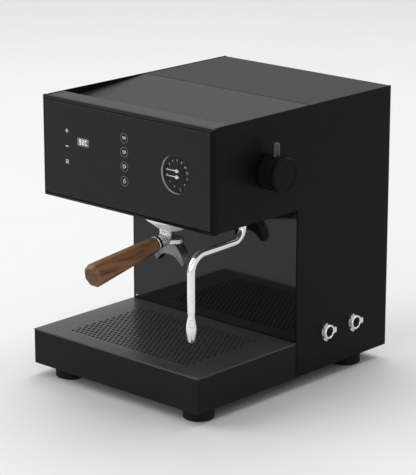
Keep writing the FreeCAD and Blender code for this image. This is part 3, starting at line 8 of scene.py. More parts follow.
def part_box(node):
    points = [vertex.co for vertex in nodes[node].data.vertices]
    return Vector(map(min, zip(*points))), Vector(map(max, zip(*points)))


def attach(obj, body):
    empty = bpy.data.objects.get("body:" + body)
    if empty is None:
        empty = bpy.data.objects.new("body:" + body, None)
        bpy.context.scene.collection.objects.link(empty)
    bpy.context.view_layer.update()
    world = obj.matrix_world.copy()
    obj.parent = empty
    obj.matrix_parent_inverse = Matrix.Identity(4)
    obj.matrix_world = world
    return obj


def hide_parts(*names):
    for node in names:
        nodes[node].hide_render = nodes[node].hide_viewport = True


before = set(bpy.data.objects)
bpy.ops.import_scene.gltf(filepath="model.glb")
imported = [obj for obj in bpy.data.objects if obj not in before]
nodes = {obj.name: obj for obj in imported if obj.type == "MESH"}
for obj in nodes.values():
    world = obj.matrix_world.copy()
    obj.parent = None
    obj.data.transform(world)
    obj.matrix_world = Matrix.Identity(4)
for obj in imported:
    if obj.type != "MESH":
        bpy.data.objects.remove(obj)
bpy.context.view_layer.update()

MM = 0.001
QUARTER_TURN = math.radians(90)
UPWARD = Vector((0, 0, 1))

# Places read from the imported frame
FRAME_LOW, FRAME_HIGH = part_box("front_frame")
GLASS_LOW, GLASS_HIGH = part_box("control_glass")
DIAL_LOW, DIAL_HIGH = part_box("gauge_dial")
COVER_LOW, COVER_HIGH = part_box("drip_cover")
SPLASH_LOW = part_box("backsplash")[0]
REAR_LOW, REAR_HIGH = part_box("rear_panel")
PANEL_LOW, PANEL_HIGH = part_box("right_side_panel")
MIDDLE_X = (FRAME_LOW.x + FRAME_HIGH.x) / 2
DIAL_X = (DIAL_LOW.x + DIAL_HIGH.x) / 2
DIAL_Z = (DIAL_LOW.z + DIAL_HIGH.z) / 2

# Printed marks stand this far out of the surface that carries them; each pair is a mark's back and front
PRINT = 0.06 * MM
GLASS_PRINT = (GLASS_LOW.y, GLASS_LOW.y - PRINT)
DIGIT_PRINT = (GLASS_LOW.y - PRINT, GLASS_LOW.y - PRINT - PRINT)
DIAL_PRINT = (DIAL_LOW.y, DIAL_LOW.y - PRINT)

# Edges that turn by more than this stay sharp, and plain circles have this many sides
SHARP_ANGLE = 35.0
CIRCLE_SIDES = 48

# Surfaces: how much slower the colour wanders than the grain, and the part of a noise that is used
COLOUR_SLOWNESS = 12
COLOUR_LOW = 0.35
COLOUR_HIGH = 0.65
NOISE_LOW = 0.3
NOISE_HIGH = 0.7

# Walnut: streaks along the handle's slope, pores, and the darker cut end, real end grain deepened with
# painted shade
HANDLE_TILT = math.radians(9.0)
HANDLE_AXIS = Vector((0, -math.cos(HANDLE_TILT), -math.sin(HANDLE_TILT)))
STREAK_SCALE = 95
STREAK_STRETCH = (1, 0.10, 1)
STREAK_WAVE = 0.6
STREAK_TONES = [(0.30, (0.092, 0.040, 0.015)), (0.45, (0.222, 0.104, 0.044)),
                (0.56, (0.290, 0.143, 0.064)), (0.72, (0.400, 0.213, 0.105))]
PORE_SCALE = 900
PORE_STRETCH = (1, 0.035, 1)
PORE_SHADES = [(0.36, (0.50, 0.46, 0.44)), (0.50, (1.0, 1.0, 1.0))]
PORE_SHARE = 0.75
PORE_DEPTH = 0.12 * MM
PORE_STRENGTH = 0.6
WOOD_ROUGH = (0.52, 0.38)
WOOD_SPECULAR = 0.3
END_FACING_LOW = 0.55
END_FACING_HIGH = 0.90
END_GRAIN_AND_PAINTED_SHADE = (0.42, 0.39, 0.34, 1)

# Gauge ring: the dark lip next to the glass, and how soon it turns bright
GAUGE_LIP = 0.9 * MM
GAUGE_LIP_FADE = 0.4 * MM
GAUGE_LIP_BLACK = (0.008, 0.008, 0.008, 1)

# See-through and lit surfaces
LENS_ALPHA = 0.03
TANK_TRANSMISSION = 0.6
DISPLAY_LIGHT = (0.93, 0.96, 1.0, 1)
WINDOW_GLOW = 0.06
DIGIT_GLOW = 0.45

# Front frame: its sloped border, and the ledge behind the glass
BEVEL_WIDTH = 3.4 * MM
BEVEL_DEPTH = 2.7 * MM
FRAME_BORDER = 4.0 * MM
FRAME_LEDGE = 9.0 * MM

# Touch marks: distance from the middle of the front, and drop from its top edge
BUTTON_X = -0.5 * MM
BUTTON_DROPS = [33.0 * MM, 50.8 * MM, 68.8 * MM, 87.2 * MM]
BUTTON_RADIUS = 6.4 * MM
BUTTON_LINE = 0.55 * MM
SIGN_X = -101.4 * MM
PLUS_DROP = 39.6 * MM
MINUS_DROP = 59.4 * MM
MENU_DROP = 79.2 * MM
MENU_PITCH = 1.9 * MM
SIGN_SIZE = 5.2 * MM
SIGN_LINE = 1.1 * MM
MENU_LINE = SIGN_LINE * 0.8

# Cup and drop signs inside the buttons
STROKE = 0.7 * MM
CUP_SHIFT = -0.5 * MM
CUP_WIDTH = 4.4 * MM
CUP_HEIGHTS = [3.2 * MM, 3.9 * MM, 4.8 * MM]
CUP_STEPS = 16
CUP_HANDLE_RISE = 0.08
CUP_HANDLE_OUTER = 1.5 * MM
CUP_HANDLE_INNER = 0.9 * MM
CUP_HANDLE_ANGLE = 70
CUP_HANDLE_STEPS = 10
DROP_SIZE = 4.2 * MM
DROP_SINK = 0.15
DROP_START = 150
DROP_END = 390
DROP_STEPS = 20
DROP_POINT = 2.1

# Display window and its digits
DISPLAY_X = -72.5 * MM
DISPLAY_DROP = 50.3 * MM
DISPLAY_WIDTH = 20.2 * MM
DISPLAY_HEIGHT = 10.5 * MM
DISPLAY_CORNER = 0.8 * MM
DISPLAY_CORNER_STEPS = 5
DISPLAY_TEXT = "92C"
DIGIT_WIDTH = 3.5 * MM
DIGIT_HEIGHT = 6.4 * MM
DIGIT_LINE = 0.9 * MM
DIGIT_PITCH = 5.1 * MM

# Lit bars of a digit, as (middle x, middle z, upright) in half widths and half heights
DIGIT_BARS = {"top": (0, 1, False), "middle": (0, 0, False), "low": (0, -1, False),
              "upper_left": (-1, 0.5, True), "upper_right": (1, 0.5, True),
              "lower_left": (-1, -0.5, True), "lower_right": (1, -0.5, True)}
DIGITS = {"9": ("top", "middle", "low", "upper_left", "upper_right", "lower_right"),
          "2": ("top", "middle", "low", "upper_right", "lower_left"),
          "C": ("top", "low", "upper_left", "lower_left")}

# Gauge print: each scale is its first angle, its step in degrees, and its numbers
NUMERAL_RADIUS = 16.6 * MM
NUMERAL_SIZE = 4.2 * MM
NUMERAL_RESOLUTION = 3
TICK_OUTER = 22.4 * MM
TICK_LENGTH = 1.4 * MM
TICK_WIDTH = 0.3 * MM
PUMP_SCALE = (168.0, -26.0, ["0", "2", "4", "6", "8", "10", "12"])
BOILER_SCALE = (192.0, 31.0, ["0", "1", "2", None, "4", "5"])
LIMIT_MARK = 3
LIMIT_OUTER = 21.6 * MM
LIMIT_LENGTH = 5.2 * MM
LIMIT_WIDTH = 1.1 * MM

# Fine grate
HOLE_RADIUS = 2.3 * MM
HOLE_PITCH_X = 7.15 * MM
HOLE_PITCH_Y = 6.2 * MM
HOLE_COLUMNS = 29
HOLE_ROWS = 21
HOLE_SIDES = 16
FIELD_FRONT = 28.0 * MM
GRATE_ROUND = 1.4 * MM
ROUND_STEPS = 4
SAME_PLACE_DIGITS = 7
SAME_PLACE = 1e-7

# Edges of the grate's field of holes
FIELD_FIRST_Y = COVER_LOW.y + FIELD_FRONT
FIELD_HALF_WIDTH = HOLE_COLUMNS * HOLE_PITCH_X / 2
FIELD_LEFT = MIDDLE_X - FIELD_HALF_WIDTH
FIELD_RIGHT = MIDDLE_X + FIELD_HALF_WIDTH
FIELD_LOW_Y = FIELD_FIRST_Y - HOLE_PITCH_Y / 2
FIELD_HIGH_Y = FIELD_FIRST_Y + (HOLE_ROWS - 0.5) * HOLE_PITCH_Y

# Screws: (share of the radius, share of the height) up the round head, and the hexagon socket's shares
SCREW_SIDES = 24
SCREW_HEIGHT = 0.55
SCREW_DOME = [(1.0, 0.35), (0.93, 0.66), (0.80, 0.88), (0.66, 1.0)]
SOCKET_SIDES = 6
SOCKET_RADIUS = 0.52
SOCKET_FLOOR = 0.35
SPLASH_SCREW_INSET = 4.3 * MM
SPLASH_SCREW_RISE = 4.0 * MM
SPLASH_SCREW_RADIUS = 1.4 * MM
REAR_SCREW_INSET = 9.0 * MM
REAR_SCREW_RADIUS = 3.2 * MM

# Rolled rim on the open end of each side fitting; the solid's lug gives the distance to its axis
SOLID_LUG_REACH = 12.5 * MM
RIM_RADIUS = 7.7 * MM
RIM_HALF_WIDTH = 1.0 * MM
RIM_HEIGHT = 0.8 * MM
RIM_STEPS = 8

# Polished sleeve round each side fitting, and its lug towards the rear
SLEEVE_OUTER = 9.2 * MM
SLEEVE_INNER = 8.5 * MM
LUG_FOOT = 8.0 * MM
LUG_REACH = 14.0 * MM
LUG_HALF_WIDTH = 3.5 * MM
LUG_STEPS = 8

# Thin ring round the ferrule, against the end of the grip
COLLAR_WIDTH = 1.3 * MM
COLLAR_RISE = 0.7 * MM
COLLAR_STEPS = 6

# Studio, in metres and watts
FLOOR_SIZE = 9.0
SKY_COLOUR = (0.95, 0.97, 1.0, 1)
SKY_STRENGTH = 0.36
BACKDROP_COLOUR = (1, 1, 1, 1)
BACKDROP_STRENGTH = 0.9
LAMP_TARGET = (0, 0, 0.2)

# Camera: its direction, its lens, and its distances from the outer rear lower corner of the right panel
CAMERA_AZIMUTH = math.radians(42.681)
CAMERA_ELEVATION = math.radians(15.939)
CAMERA_SENSOR = 36.0
CAMERA_LENS = 165.2
CAMERA_CLIP = 30.0
CAMERA_RIGHT = 1.6860
CAMERA_FORWARD = 2.17504
CAMERA_RISE = 0.9298


def shader_of(material):
    """The Principled shader of a material."""
    return material.node_tree.nodes["Principled BSDF"]


def new_material(name):
    """A new material with its node tree and shader."""
    material = bpy.data.materials.new(name)
    material.use_nodes = True
    return material, material.node_tree, shader_of(material)


def noise(tree, scale, detail, roughness=0.55, stretch=(1, 1, 1), turn=(0, 0, 0)):
    """A noise texture in the object's own metres."""
    place = tree.nodes.new("ShaderNodeTexCoord")
    mapping = tree.nodes.new("ShaderNodeMapping")
    mapping.inputs["Scale"].default_value = stretch
    mapping.inputs["Rotation"].default_value = turn
    texture = tree.nodes.new("ShaderNodeTexNoise")
    texture.inputs["Scale"].default_value = scale
    texture.inputs["Detail"].default_value = detail
    texture.inputs["Roughness"].default_value = roughness
    tree.links.new(place.outputs["Object"], mapping.inputs["Vector"])
    tree.links.new(mapping.outputs["Vector"], texture.inputs["Vector"])
    return texture


def ramp(tree, source, stops):
    """A colour ramp over a grey source; stops are (place, colour)."""
    node = tree.nodes.new("ShaderNodeValToRGB")
    elements = node.color_ramp.elements
    while len(elements) < len(stops):
        elements.new(0.5)
    for element, (place, colour) in zip(elements, stops):
        element.position = place
        element.color = (*colour, 1)
    tree.links.new(source, node.inputs["Fac"])
    return node.outputs["Color"]


def map_range(tree, source, from_low, from_high, to_low=0.0, to_high=1.0):
    """Maps one range of values to another."""
    node = tree.nodes.new("ShaderNodeMapRange")
    node.inputs["From Min"].default_value = from_low
    node.inputs["From Max"].default_value = from_high
    node.inputs["To Min"].default_value = to_low
    node.inputs["To Max"].default_value = to_high
    tree.links.new(source, node.inputs["Value"])
    return node.outputs["Result"]


def colour_mix(tree, blend="MIX"):
    """A node that mixes two colours."""
    node = tree.nodes.new("ShaderNodeMix")
    node.data_type = "RGBA"
    node.blend_type = blend
    return node


def bump(tree, shader, source, distance, strength=1.0):
    """Lets a grey source raise the surface by a distance."""
    node = tree.nodes.new("ShaderNodeBump")
    node.inputs["Strength"].default_value = strength
    node.inputs["Distance"].default_value = distance
    tree.links.new(source, node.inputs["Height"])
    tree.links.new(node.outputs["Normal"], shader.inputs["Normal"])


def finish(name, dark, light, rough, grain, depth=0.0, metallic=0.0, specular=0.5, stretch=(1, 1, 1)):
    """A surface whose colour and roughness wander between two values, with a fine bump if depth is given."""
    material, tree, shader = new_material(name)
    shader.inputs["Metallic"].default_value = metallic
    shader.inputs["Specular IOR Level"].default_value = specular
    broad = noise(tree, grain / COLOUR_SLOWNESS, detail=3.0)
    colour = ramp(tree, broad.outputs["Fac"], [(COLOUR_LOW, dark), (COLOUR_HIGH, light)])
    tree.links.new(colour, shader.inputs["Base Color"])
    fine = noise(tree, grain, detail=5.0, roughness=0.6, stretch=stretch)
    gloss = map_range(tree, fine.outputs["Fac"], NOISE_LOW, NOISE_HIGH, *rough)
    tree.links.new(gloss, shader.inputs["Roughness"])
    if depth:
        bump(tree, shader, fine.outputs["Fac"], depth)
    return material


def powder_coat():
    return finish("powder_coat", dark=(0.0042, 0.0042, 0.0044), light=(0.0058, 0.0058, 0.0060),
                  rough=(0.36, 0.46), grain=1600, depth=0.02 * MM, specular=0.07)


def top_coat_painted_sheen():
    """The cup tray's coat, a little glossier than the panels', with its colour painted slightly lighter as a
    painted sheen on the top.
    """
    return finish("top_coat_painted_sheen", dark=(0.0046, 0.0046, 0.0048), light=(0.0062, 0.0062, 0.0064),
                  rough=(0.32, 0.42), grain=1600, depth=0.02 * MM, specular=0.13)


def tray_coat():
    return finish("tray_coat", dark=(0.0090, 0.0090, 0.0093), light=(0.0114, 0.0114, 0.0117),
                  rough=(0.38, 0.48), grain=1600, depth=0.03 * MM, specular=0.08)


def grate_coat_painted_sheen():
    """The tray's top, smoother than its walls, with its colour painted several times lighter than the walls'
    as a painted sheen for the light from behind.
    """
    return finish("grate_coat_painted_sheen", dark=(0.0420, 0.0420, 0.0427), light=(0.0510, 0.0510, 0.0518),
                  rough=(0.30, 0.38), grain=1600, depth=0.02 * MM, specular=0.20)


def splash_gloss():
    return finish("splash_gloss", dark=(0.0038, 0.0038, 0.0040), light=(0.0050, 0.0050, 0.0053),
                  rough=(0.04, 0.08), grain=300, specular=0.34)


def front_glass():
    return finish("front_glass", dark=(0.0044, 0.0044, 0.0046), light=(0.0058, 0.0058, 0.0061),
                  rough=(0.26, 0.32), grain=500, specular=0.2)


def frame_black():
    return finish("frame_black", dark=(0.0038, 0.0038, 0.0039), light=(0.0050, 0.0050, 0.0051),
                  rough=(0.34, 0.44), grain=1200, depth=0.01 * MM, specular=0.06)


def satin_black():
    return finish("satin_black", dark=(0.0055, 0.0055, 0.0058), light=(0.0075, 0.0075, 0.0078),
                  rough=(0.30, 0.40), grain=1200, depth=0.01 * MM, specular=0.15)


def knob_black():
    return finish("knob_black", dark=(0.0066, 0.0066, 0.0068), light=(0.0084, 0.0084, 0.0086),
                  rough=(0.26, 0.34), grain=1400, depth=0.01 * MM, specular=0.05)


def peg_metal():
    return finish("peg_metal", dark=(0.042, 0.042, 0.043), light=(0.060, 0.060, 0.061),
                  rough=(0.28, 0.38), grain=900, metallic=0.6, stretch=(1, 1, 0.1))


def rubber():
    return finish("rubber", dark=(0.006, 0.006, 0.006), light=(0.010, 0.010, 0.010),
                  rough=(0.62, 0.78), grain=1200, depth=0.04 * MM, specular=0.12)


def chrome():
    return finish("chrome", dark=(0.79, 0.80, 0.81), light=(0.85, 0.86, 0.87),
                  rough=(0.035, 0.070), grain=240, metallic=0.84)


def cast_chrome():
    """Plated casting, less even than the drawn pipe: its reflections break up a little."""
    return finish("cast_chrome", dark=(0.56, 0.57, 0.58), light=(0.76, 0.77, 0.78),
                  rough=(0.05, 0.12), grain=260, depth=1.4 * MM, metallic=0.92)


def spout_chrome_painted_shade():
    """The spout's plating, a little rougher than the pipe's, with its colour painted far darker as painted
    shade on its reflections, so that its broad front stays grey.
    """
    return finish("spout_chrome_painted_shade", dark=(0.14, 0.143, 0.146), light=(0.24, 0.243, 0.246),
                  rough=(0.10, 0.20), grain=260, depth=1.6 * MM, metallic=0.9)


# Painted reflection: chrome given a near-white, mostly matt colour, so that the group ring and the filter's
# bowl stay bright in the head's shade.
def ring_chrome_painted_reflection():
    return finish("ring_chrome_painted_reflection", dark=(0.86, 0.86, 0.87), light=(0.92, 0.92, 0.93),
                  rough=(0.20, 0.30), grain=400, metallic=0.2)


def fitting_steel():
    return finish("fitting_steel", dark=(0.48, 0.485, 0.49), light=(0.60, 0.605, 0.61),
                  rough=(0.12, 0.22), grain=500, metallic=0.9)


def sleeve_steel_painted_reflection():
    """The fittings' polished outside, brighter than their bores: its colour is painted near-white with
    little metal, a painted reflection of the bright light it shows.
    """
    return finish("sleeve_steel_painted_reflection", dark=(0.84, 0.845, 0.85), light=(0.90, 0.905, 0.91),
                  rough=(0.12, 0.22), grain=500, metallic=0.35)


def gauge_silver():
    """The gauge ring's bright wall, with a dark lip where the ring meets the glass."""
    material = finish("gauge_silver", dark=(0.72, 0.72, 0.73), light=(0.80, 0.80, 0.81),
                      rough=(0.38, 0.48), grain=900, metallic=0.2)
    tree = material.node_tree
    base = shader_of(material).inputs["Base Color"]
    bright = base.links[0].from_socket
    place = tree.nodes.new("ShaderNodeTexCoord")
    axes = tree.nodes.new("ShaderNodeSeparateXYZ")
    tree.links.new(place.outputs["Object"], axes.inputs["Vector"])
    lip_end = GLASS_LOW.y + GAUGE_LIP
    share = map_range(tree, axes.outputs["Y"], lip_end, lip_end + GAUGE_LIP_FADE)
    mix = colour_mix(tree)
    mix.inputs["A"].default_value = GAUGE_LIP_BLACK
    tree.links.new(share, mix.inputs["Factor"])
    tree.links.new(bright, mix.inputs["B"])
    tree.links.new(mix.outputs["Result"], base)
    return material


def brushed_steel():
    return finish("brushed_steel", dark=(0.48, 0.48, 0.49), light=(0.58, 0.58, 0.59),
                  rough=(0.24, 0.36), grain=900, depth=0.01 * MM, metallic=1.0, stretch=(0.1, 1, 1))


def machined_brass():
    return finish("machined_brass", dark=(0.50, 0.34, 0.12), light=(0.60, 0.42, 0.17),
                  rough=(0.22, 0.34), grain=700, metallic=1.0)


def drawn_copper():
    return finish("drawn_copper", dark=(0.55, 0.24, 0.13), light=(0.64, 0.30, 0.18),
                  rough=(0.20, 0.34), grain=700, metallic=1.0)


def cast_alloy():
    return finish("cast_alloy", dark=(0.46, 0.47, 0.48), light=(0.56, 0.57, 0.58),
                  rough=(0.42, 0.56), grain=1100, depth=0.06 * MM, metallic=1.0)


def dial_black():
    return finish("dial_black", dark=(0.0120, 0.0120, 0.0124), light=(0.0150, 0.0150, 0.0155),
                  rough=(0.50, 0.60), grain=1500, specular=0.1)


def needle_white():
    return finish("needle_white", dark=(0.74, 0.74, 0.72), light=(0.82, 0.82, 0.80),
                  rough=(0.40, 0.50), grain=1500)


def smoked_plastic():
    material = finish("smoked_plastic", dark=(0.16, 0.17, 0.18), light=(0.21, 0.22, 0.23),
                      rough=(0.10, 0.18), grain=400)
    shader_of(material).inputs["Transmission Weight"].default_value = TANK_TRANSMISSION
    return material


def moulded_black():
    return finish("moulded_black", dark=(0.014, 0.014, 0.015), light=(0.020, 0.020, 0.021),
                  rough=(0.45, 0.58), grain=1500, depth=0.04 * MM)


def silicone():
    return finish("silicone", dark=(0.52, 0.53, 0.53), light=(0.60, 0.61, 0.61),
                  rough=(0.40, 0.52), grain=500)


def board_green():
    return finish("board_green", dark=(0.010, 0.060, 0.028), light=(0.016, 0.085, 0.040),
                  rough=(0.28, 0.40), grain=700)


def pump_grey():
    return finish("pump_grey", dark=(0.10, 0.10, 0.105), light=(0.13, 0.13, 0.135),
                  rough=(0.45, 0.58), grain=900, depth=0.04 * MM)


def clear_lens():
    """A nearly invisible lens; its base is dark, so that the dial behind it stays even."""
    material = finish("clear_lens", dark=(0.020, 0.021, 0.022), light=(0.028, 0.029, 0.030),
                      rough=(0.03, 0.06), grain=300)
    shader_of(material).inputs["Alpha"].default_value = LENS_ALPHA
    return material


def ink(name, dark, light):
    """A printed mark's surface."""
    return finish(name, dark, light, rough=(0.45, 0.55), grain=2000)


def print_white():
    return ink("print_white", dark=(0.68, 0.68, 0.68), light=(0.76, 0.76, 0.76))


def print_dial():
    """The dial's numbers, dimmer than the front's marks."""
    return ink("print_dial", dark=(0.50, 0.50, 0.50), light=(0.56, 0.56, 0.56))


def print_grey():
    return ink("print_grey", dark=(0.140, 0.140, 0.143), light=(0.170, 0.170, 0.173))


def print_orange():
    return ink("print_orange", dark=(0.36, 0.16, 0.04), light=(0.42, 0.20, 0.05))


def lit(name, dark, light, glow):
    """A back-lit surface of the display."""
    material = finish(name, dark, light, rough=(0.3, 0.4), grain=1500)
    shader = shader_of(material)
    shader.inputs["Emission Color"].default_value = DISPLAY_LIGHT
    shader.inputs["Emission Strength"].default_value = glow
    return material


def window_lit():
    return lit("display_glow", dark=(0.07, 0.07, 0.075), light=(0.09, 0.09, 0.095), glow=WINDOW_GLOW)


def digits_lit():
    return lit("display_digits", dark=(0.60, 0.60, 0.62), light=(0.66, 0.66, 0.68), glow=DIGIT_GLOW)


def floor_matte():
    return finish("floor", dark=(0.76, 0.76, 0.76), light=(0.78, 0.78, 0.78), rough=(0.55, 0.65), grain=20)


def end_grain_and_painted_shade(tree, colour):
    """The wood's colour, darker on the cut end of the handle, which faces along its axis: real end grain,
    deepened with painted shade against the lamps that face the end.
    """
    place = tree.nodes.new("ShaderNodeTexCoord")
    facing = tree.nodes.new("ShaderNodeVectorMath")
    facing.operation = "DOT_PRODUCT"
    facing.inputs[1].default_value = HANDLE_AXIS
    tree.links.new(place.outputs["Normal"], facing.inputs[0])
    share = map_range(tree, facing.outputs["Value"], END_FACING_LOW, END_FACING_HIGH)
    mix = colour_mix(tree, "MULTIPLY")
    mix.inputs["B"].default_value = END_GRAIN_AND_PAINTED_SHADE
    tree.links.new(share, mix.inputs["Factor"])
    tree.links.new(colour, mix.inputs["A"])
    return mix.outputs["Result"]


def walnut():
    """Oiled walnut: long streaks down the handle, with fine pores."""
    material, tree, shader = new_material("walnut")
    shader.inputs["Specular IOR Level"].default_value = WOOD_SPECULAR
    slope = (HANDLE_TILT, 0, 0)
    streaks = noise(tree, STREAK_SCALE, detail=5.0, roughness=0.62, stretch=STREAK_STRETCH, turn=slope)
    streaks.inputs["Distortion"].default_value = STREAK_WAVE
    pores = noise(tree, PORE_SCALE, detail=4.0, roughness=0.6, stretch=PORE_STRETCH, turn=slope)
    mix = colour_mix(tree, "MULTIPLY")
    mix.inputs["Factor"].default_value = PORE_SHARE
    tree.links.new(ramp(tree, streaks.outputs["Fac"], STREAK_TONES), mix.inputs["A"])
    tree.links.new(ramp(tree, pores.outputs["Fac"], PORE_SHADES), mix.inputs["B"])
    tree.links.new(end_grain_and_painted_shade(tree, mix.outputs["Result"]), shader.inputs["Base Color"])
    gloss = map_range(tree, pores.outputs["Fac"], NOISE_LOW, NOISE_HIGH, *WOOD_ROUGH)
    tree.links.new(gloss, shader.inputs["Roughness"])
    bump(tree, shader, pores.outputs["Fac"], PORE_DEPTH, PORE_STRENGTH)
    return material


def dress(material, *names):
    """Gives a material to CAD nodes."""
    for name in names:
        nodes[name].data.materials.clear()
        nodes[name].data.materials.append(material)


def piece(name, bm, material, body):
    """Turns a bmesh into an object that rides on a body, smooth apart from its sharp edges."""
    bmesh.ops.recalc_face_normals(bm, faces=bm.faces)
    mesh = bpy.data.meshes.new(name)
    bm.to_mesh(mesh)
    bm.free()
    mesh.shade_smooth()
    mesh.set_sharp_from_angle(angle=math.radians(SHARP_ANGLE))
    mesh.materials.append(material)
    thing = bpy.data.objects.new(name, mesh)
    bpy.context.scene.collection.objects.link(thing)
    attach(thing, body)
    return thing


def join_loops(bm, loops, closed=False):
    """Faces between neighbouring loops of as many vertices each; closed joins the last to the first too."""
    after_loops = loops[1:] + loops[:1] if closed else loops[1:]
    for loop, after in zip(loops, after_loops):
        for k in range(len(loop)):
            n = (k + 1) % len(loop)
            bm.faces.new((loop[k], loop[n], after[n], after[k]))


def add_prism(bm, outline, back, front):
    """A flat plate facing the front, from an outline of (x, z) points."""
    rear = [bm.verts.new((x, back, z)) for x, z in outline]
    face = [bm.verts.new((x, front, z)) for x, z in outline]
    bm.faces.new(rear)
    bm.faces.new(face)
    join_loops(bm, [rear, face])


def add_bar(bm, x, z, width, height, back, front, turn=0.0):
    """A rectangular plate, turned about its middle."""
    c = math.cos(turn)
    s = math.sin(turn)
    right = width / 2
    top = height / 2
    corners = [(-right, -top), (right, -top), (right, top), (-right, top)]
    add_prism(bm, [(x + u * c - v * s, z + u * s + v * c) for u, v in corners], back, front)


def add_band(bm, outer, inner, back, front, closed=True):
    """A flat band between two outlines with as many points each."""
    count = len(outer)
    rings = [[bm.verts.new((x, y, z)) for x, z in line] for y in (back, front) for line in (outer, inner)]
    rear_out, rear_in, front_out, front_in = rings
    for k in range(count if closed else count - 1):
        n = (k + 1) % count
        bm.faces.new((rear_out[k], rear_out[n], rear_in[n], rear_in[k]))
        bm.faces.new((front_out[k], front_out[n], front_in[n], front_in[k]))
        bm.faces.new((rear_out[k], rear_out[n], front_out[n], front_out[k]))
        bm.faces.new((rear_in[k], rear_in[n], front_in[n], front_in[k]))
    if not closed:
        for k in (0, count - 1):
            bm.faces.new((rear_out[k], rear_in[k], front_in[k], front_out[k]))


def arc(x, z, radius, start, end, steps):
    """Points on an arc, with angles in degrees from +X."""
    angles = [math.radians(start + (end - start) * k / steps) for k in range(steps + 1)]
    return [(x + radius * math.cos(a), z + radius * math.sin(a)) for a in angles]


def circle(x, z, radius, sides=CIRCLE_SIDES):
    return arc(x, z, radius, 0, 360, sides)[:-1]


def on_front(across, drop):
    """A point (x, z) on the front, from the middle and the top edge."""
    return MIDDLE_X + across, FRAME_HIGH.z - drop


def frame_corners(inset):
    """Corners (x, z) of the front frame's outline, moved in by a distance."""
    left = FRAME_LOW.x + inset
    right = FRAME_HIGH.x - inset
    low = FRAME_LOW.z + inset
    high = FRAME_HIGH.z - inset
    return [(left, low), (right, low), (right, high), (left, high)]


def bevelled_frame():
    """The front frame with the wide bevel that runs from the glass to its outer edge."""
    front = FRAME_LOW.y
    back = FRAME_HIGH.y
    seat = GLASS_HIGH.y
    ledge = FRAME_BORDER + FRAME_LEDGE
    profile = [(0, back), (0, front + BEVEL_DEPTH), (BEVEL_WIDTH, front), (FRAME_BORDER, front),
               (FRAME_BORDER, seat), (ledge, seat), (ledge, back)]
    bm = bmesh.new()
    loops = [[bm.verts.new((x, y, z)) for x, z in frame_corners(inset)] for inset, y in profile]
    join_loops(bm, loops, closed=True)
    bezel = piece("bevelled_frame", bm, frame_black(), "chassis")
    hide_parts("front_frame")


def sign_marks():
    """Plus, minus and menu marks at the left of the glass."""
    bm = bmesh.new()
    half = SIGN_SIZE / 2
    line = SIGN_LINE / 2
    cross = [(-half, -line), (-line, -line), (-line, -half), (line, -half), (line, -line), (half, -line),
             (half, line), (line, line), (line, half), (-line, half), (-line, line), (-half, line)]
    x, z = on_front(SIGN_X, PLUS_DROP)
    add_prism(bm, [(x + u, z + v) for u, v in cross], *GLASS_PRINT)
    x, z = on_front(SIGN_X, MINUS_DROP)
    add_bar(bm, x, z, SIGN_SIZE, SIGN_LINE, *GLASS_PRINT)
    x, z = on_front(SIGN_X, MENU_DROP)
    for row in (-1, 0, 1):
        add_bar(bm, x, z + row * MENU_PITCH, SIGN_SIZE, MENU_LINE, *GLASS_PRINT)
    piece("sign_marks", bm, print_white(), "chassis")


def button_rings():
    """A thin ring round each touch mark."""
    bm = bmesh.new()
    for drop in BUTTON_DROPS:
        x, z = on_front(BUTTON_X, drop)
        add_band(bm, circle(x, z, BUTTON_RADIUS), circle(x, z, BUTTON_RADIUS - BUTTON_LINE), *GLASS_PRINT)
    piece("button_rings", bm, print_grey(), "chassis")


def add_cup(bm, x, z, height):
    """A cup sign: rounded bowl outline, rim line and handle."""
    half = CUP_WIDTH / 2
    top = z + height / 2
    low = z - height / 2

    def bowl(inset):
        radius = half - inset
        return [(x - radius, top)] + arc(x, low + half, radius, 180, 360, CUP_STEPS) + [(x + radius, top)]

    def handle(radius):
        return arc(x + half - STROKE / 2, z + height * CUP_HANDLE_RISE, radius, -CUP_HANDLE_ANGLE,
                   CUP_HANDLE_ANGLE, CUP_HANDLE_STEPS)

    add_band(bm, bowl(0), bowl(STROKE), *GLASS_PRINT, closed=False)
    add_bar(bm, x, top - STROKE / 2, CUP_WIDTH - 2 * STROKE, STROKE, *GLASS_PRINT)
    add_band(bm, handle(CUP_HANDLE_OUTER), handle(CUP_HANDLE_INNER), *GLASS_PRINT, closed=False)


def add_drop(bm, x, z):
    """A drop sign: round below, pointed above."""
    middle = z - DROP_SINK * DROP_SIZE

    def outline(radius):
        return arc(x, middle, radius, DROP_START, DROP_END, DROP_STEPS) + [(x, middle + radius * DROP_POINT)]

    add_band(bm, outline(DROP_SIZE / 2), outline(DROP_SIZE / 2 - STROKE), *GLASS_PRINT)


def button_signs():
    """Cup signs in the upper three buttons and a drop in the lowest."""
    bm = bmesh.new()
    for drop, height in zip(BUTTON_DROPS, CUP_HEIGHTS):
        x, z = on_front(BUTTON_X + CUP_SHIFT, drop)
        add_cup(bm, x, z, height)
    x, z = on_front(BUTTON_X, BUTTON_DROPS[-1])
    add_drop(bm, x, z)
    piece("button_signs", bm, print_white(), "chassis")


def display_glow():
    """The lit window of the display, with slightly rounded corners."""
    x, z = on_front(DISPLAY_X, DISPLAY_DROP)
    outline = []
    for side, rise, start in ((1, 1, 0), (-1, 1, 90), (-1, -1, 180), (1, -1, 270)):
        corner_x = x + side * (DISPLAY_WIDTH / 2 - DISPLAY_CORNER)
        corner_z = z + rise * (DISPLAY_HEIGHT / 2 - DISPLAY_CORNER)
        outline += arc(corner_x, corner_z, DISPLAY_CORNER, start, start + 90, DISPLAY_CORNER_STEPS)
    bm = bmesh.new()
    add_prism(bm, outline, *GLASS_PRINT)
    piece("display_glow", bm, window_lit(), "chassis")


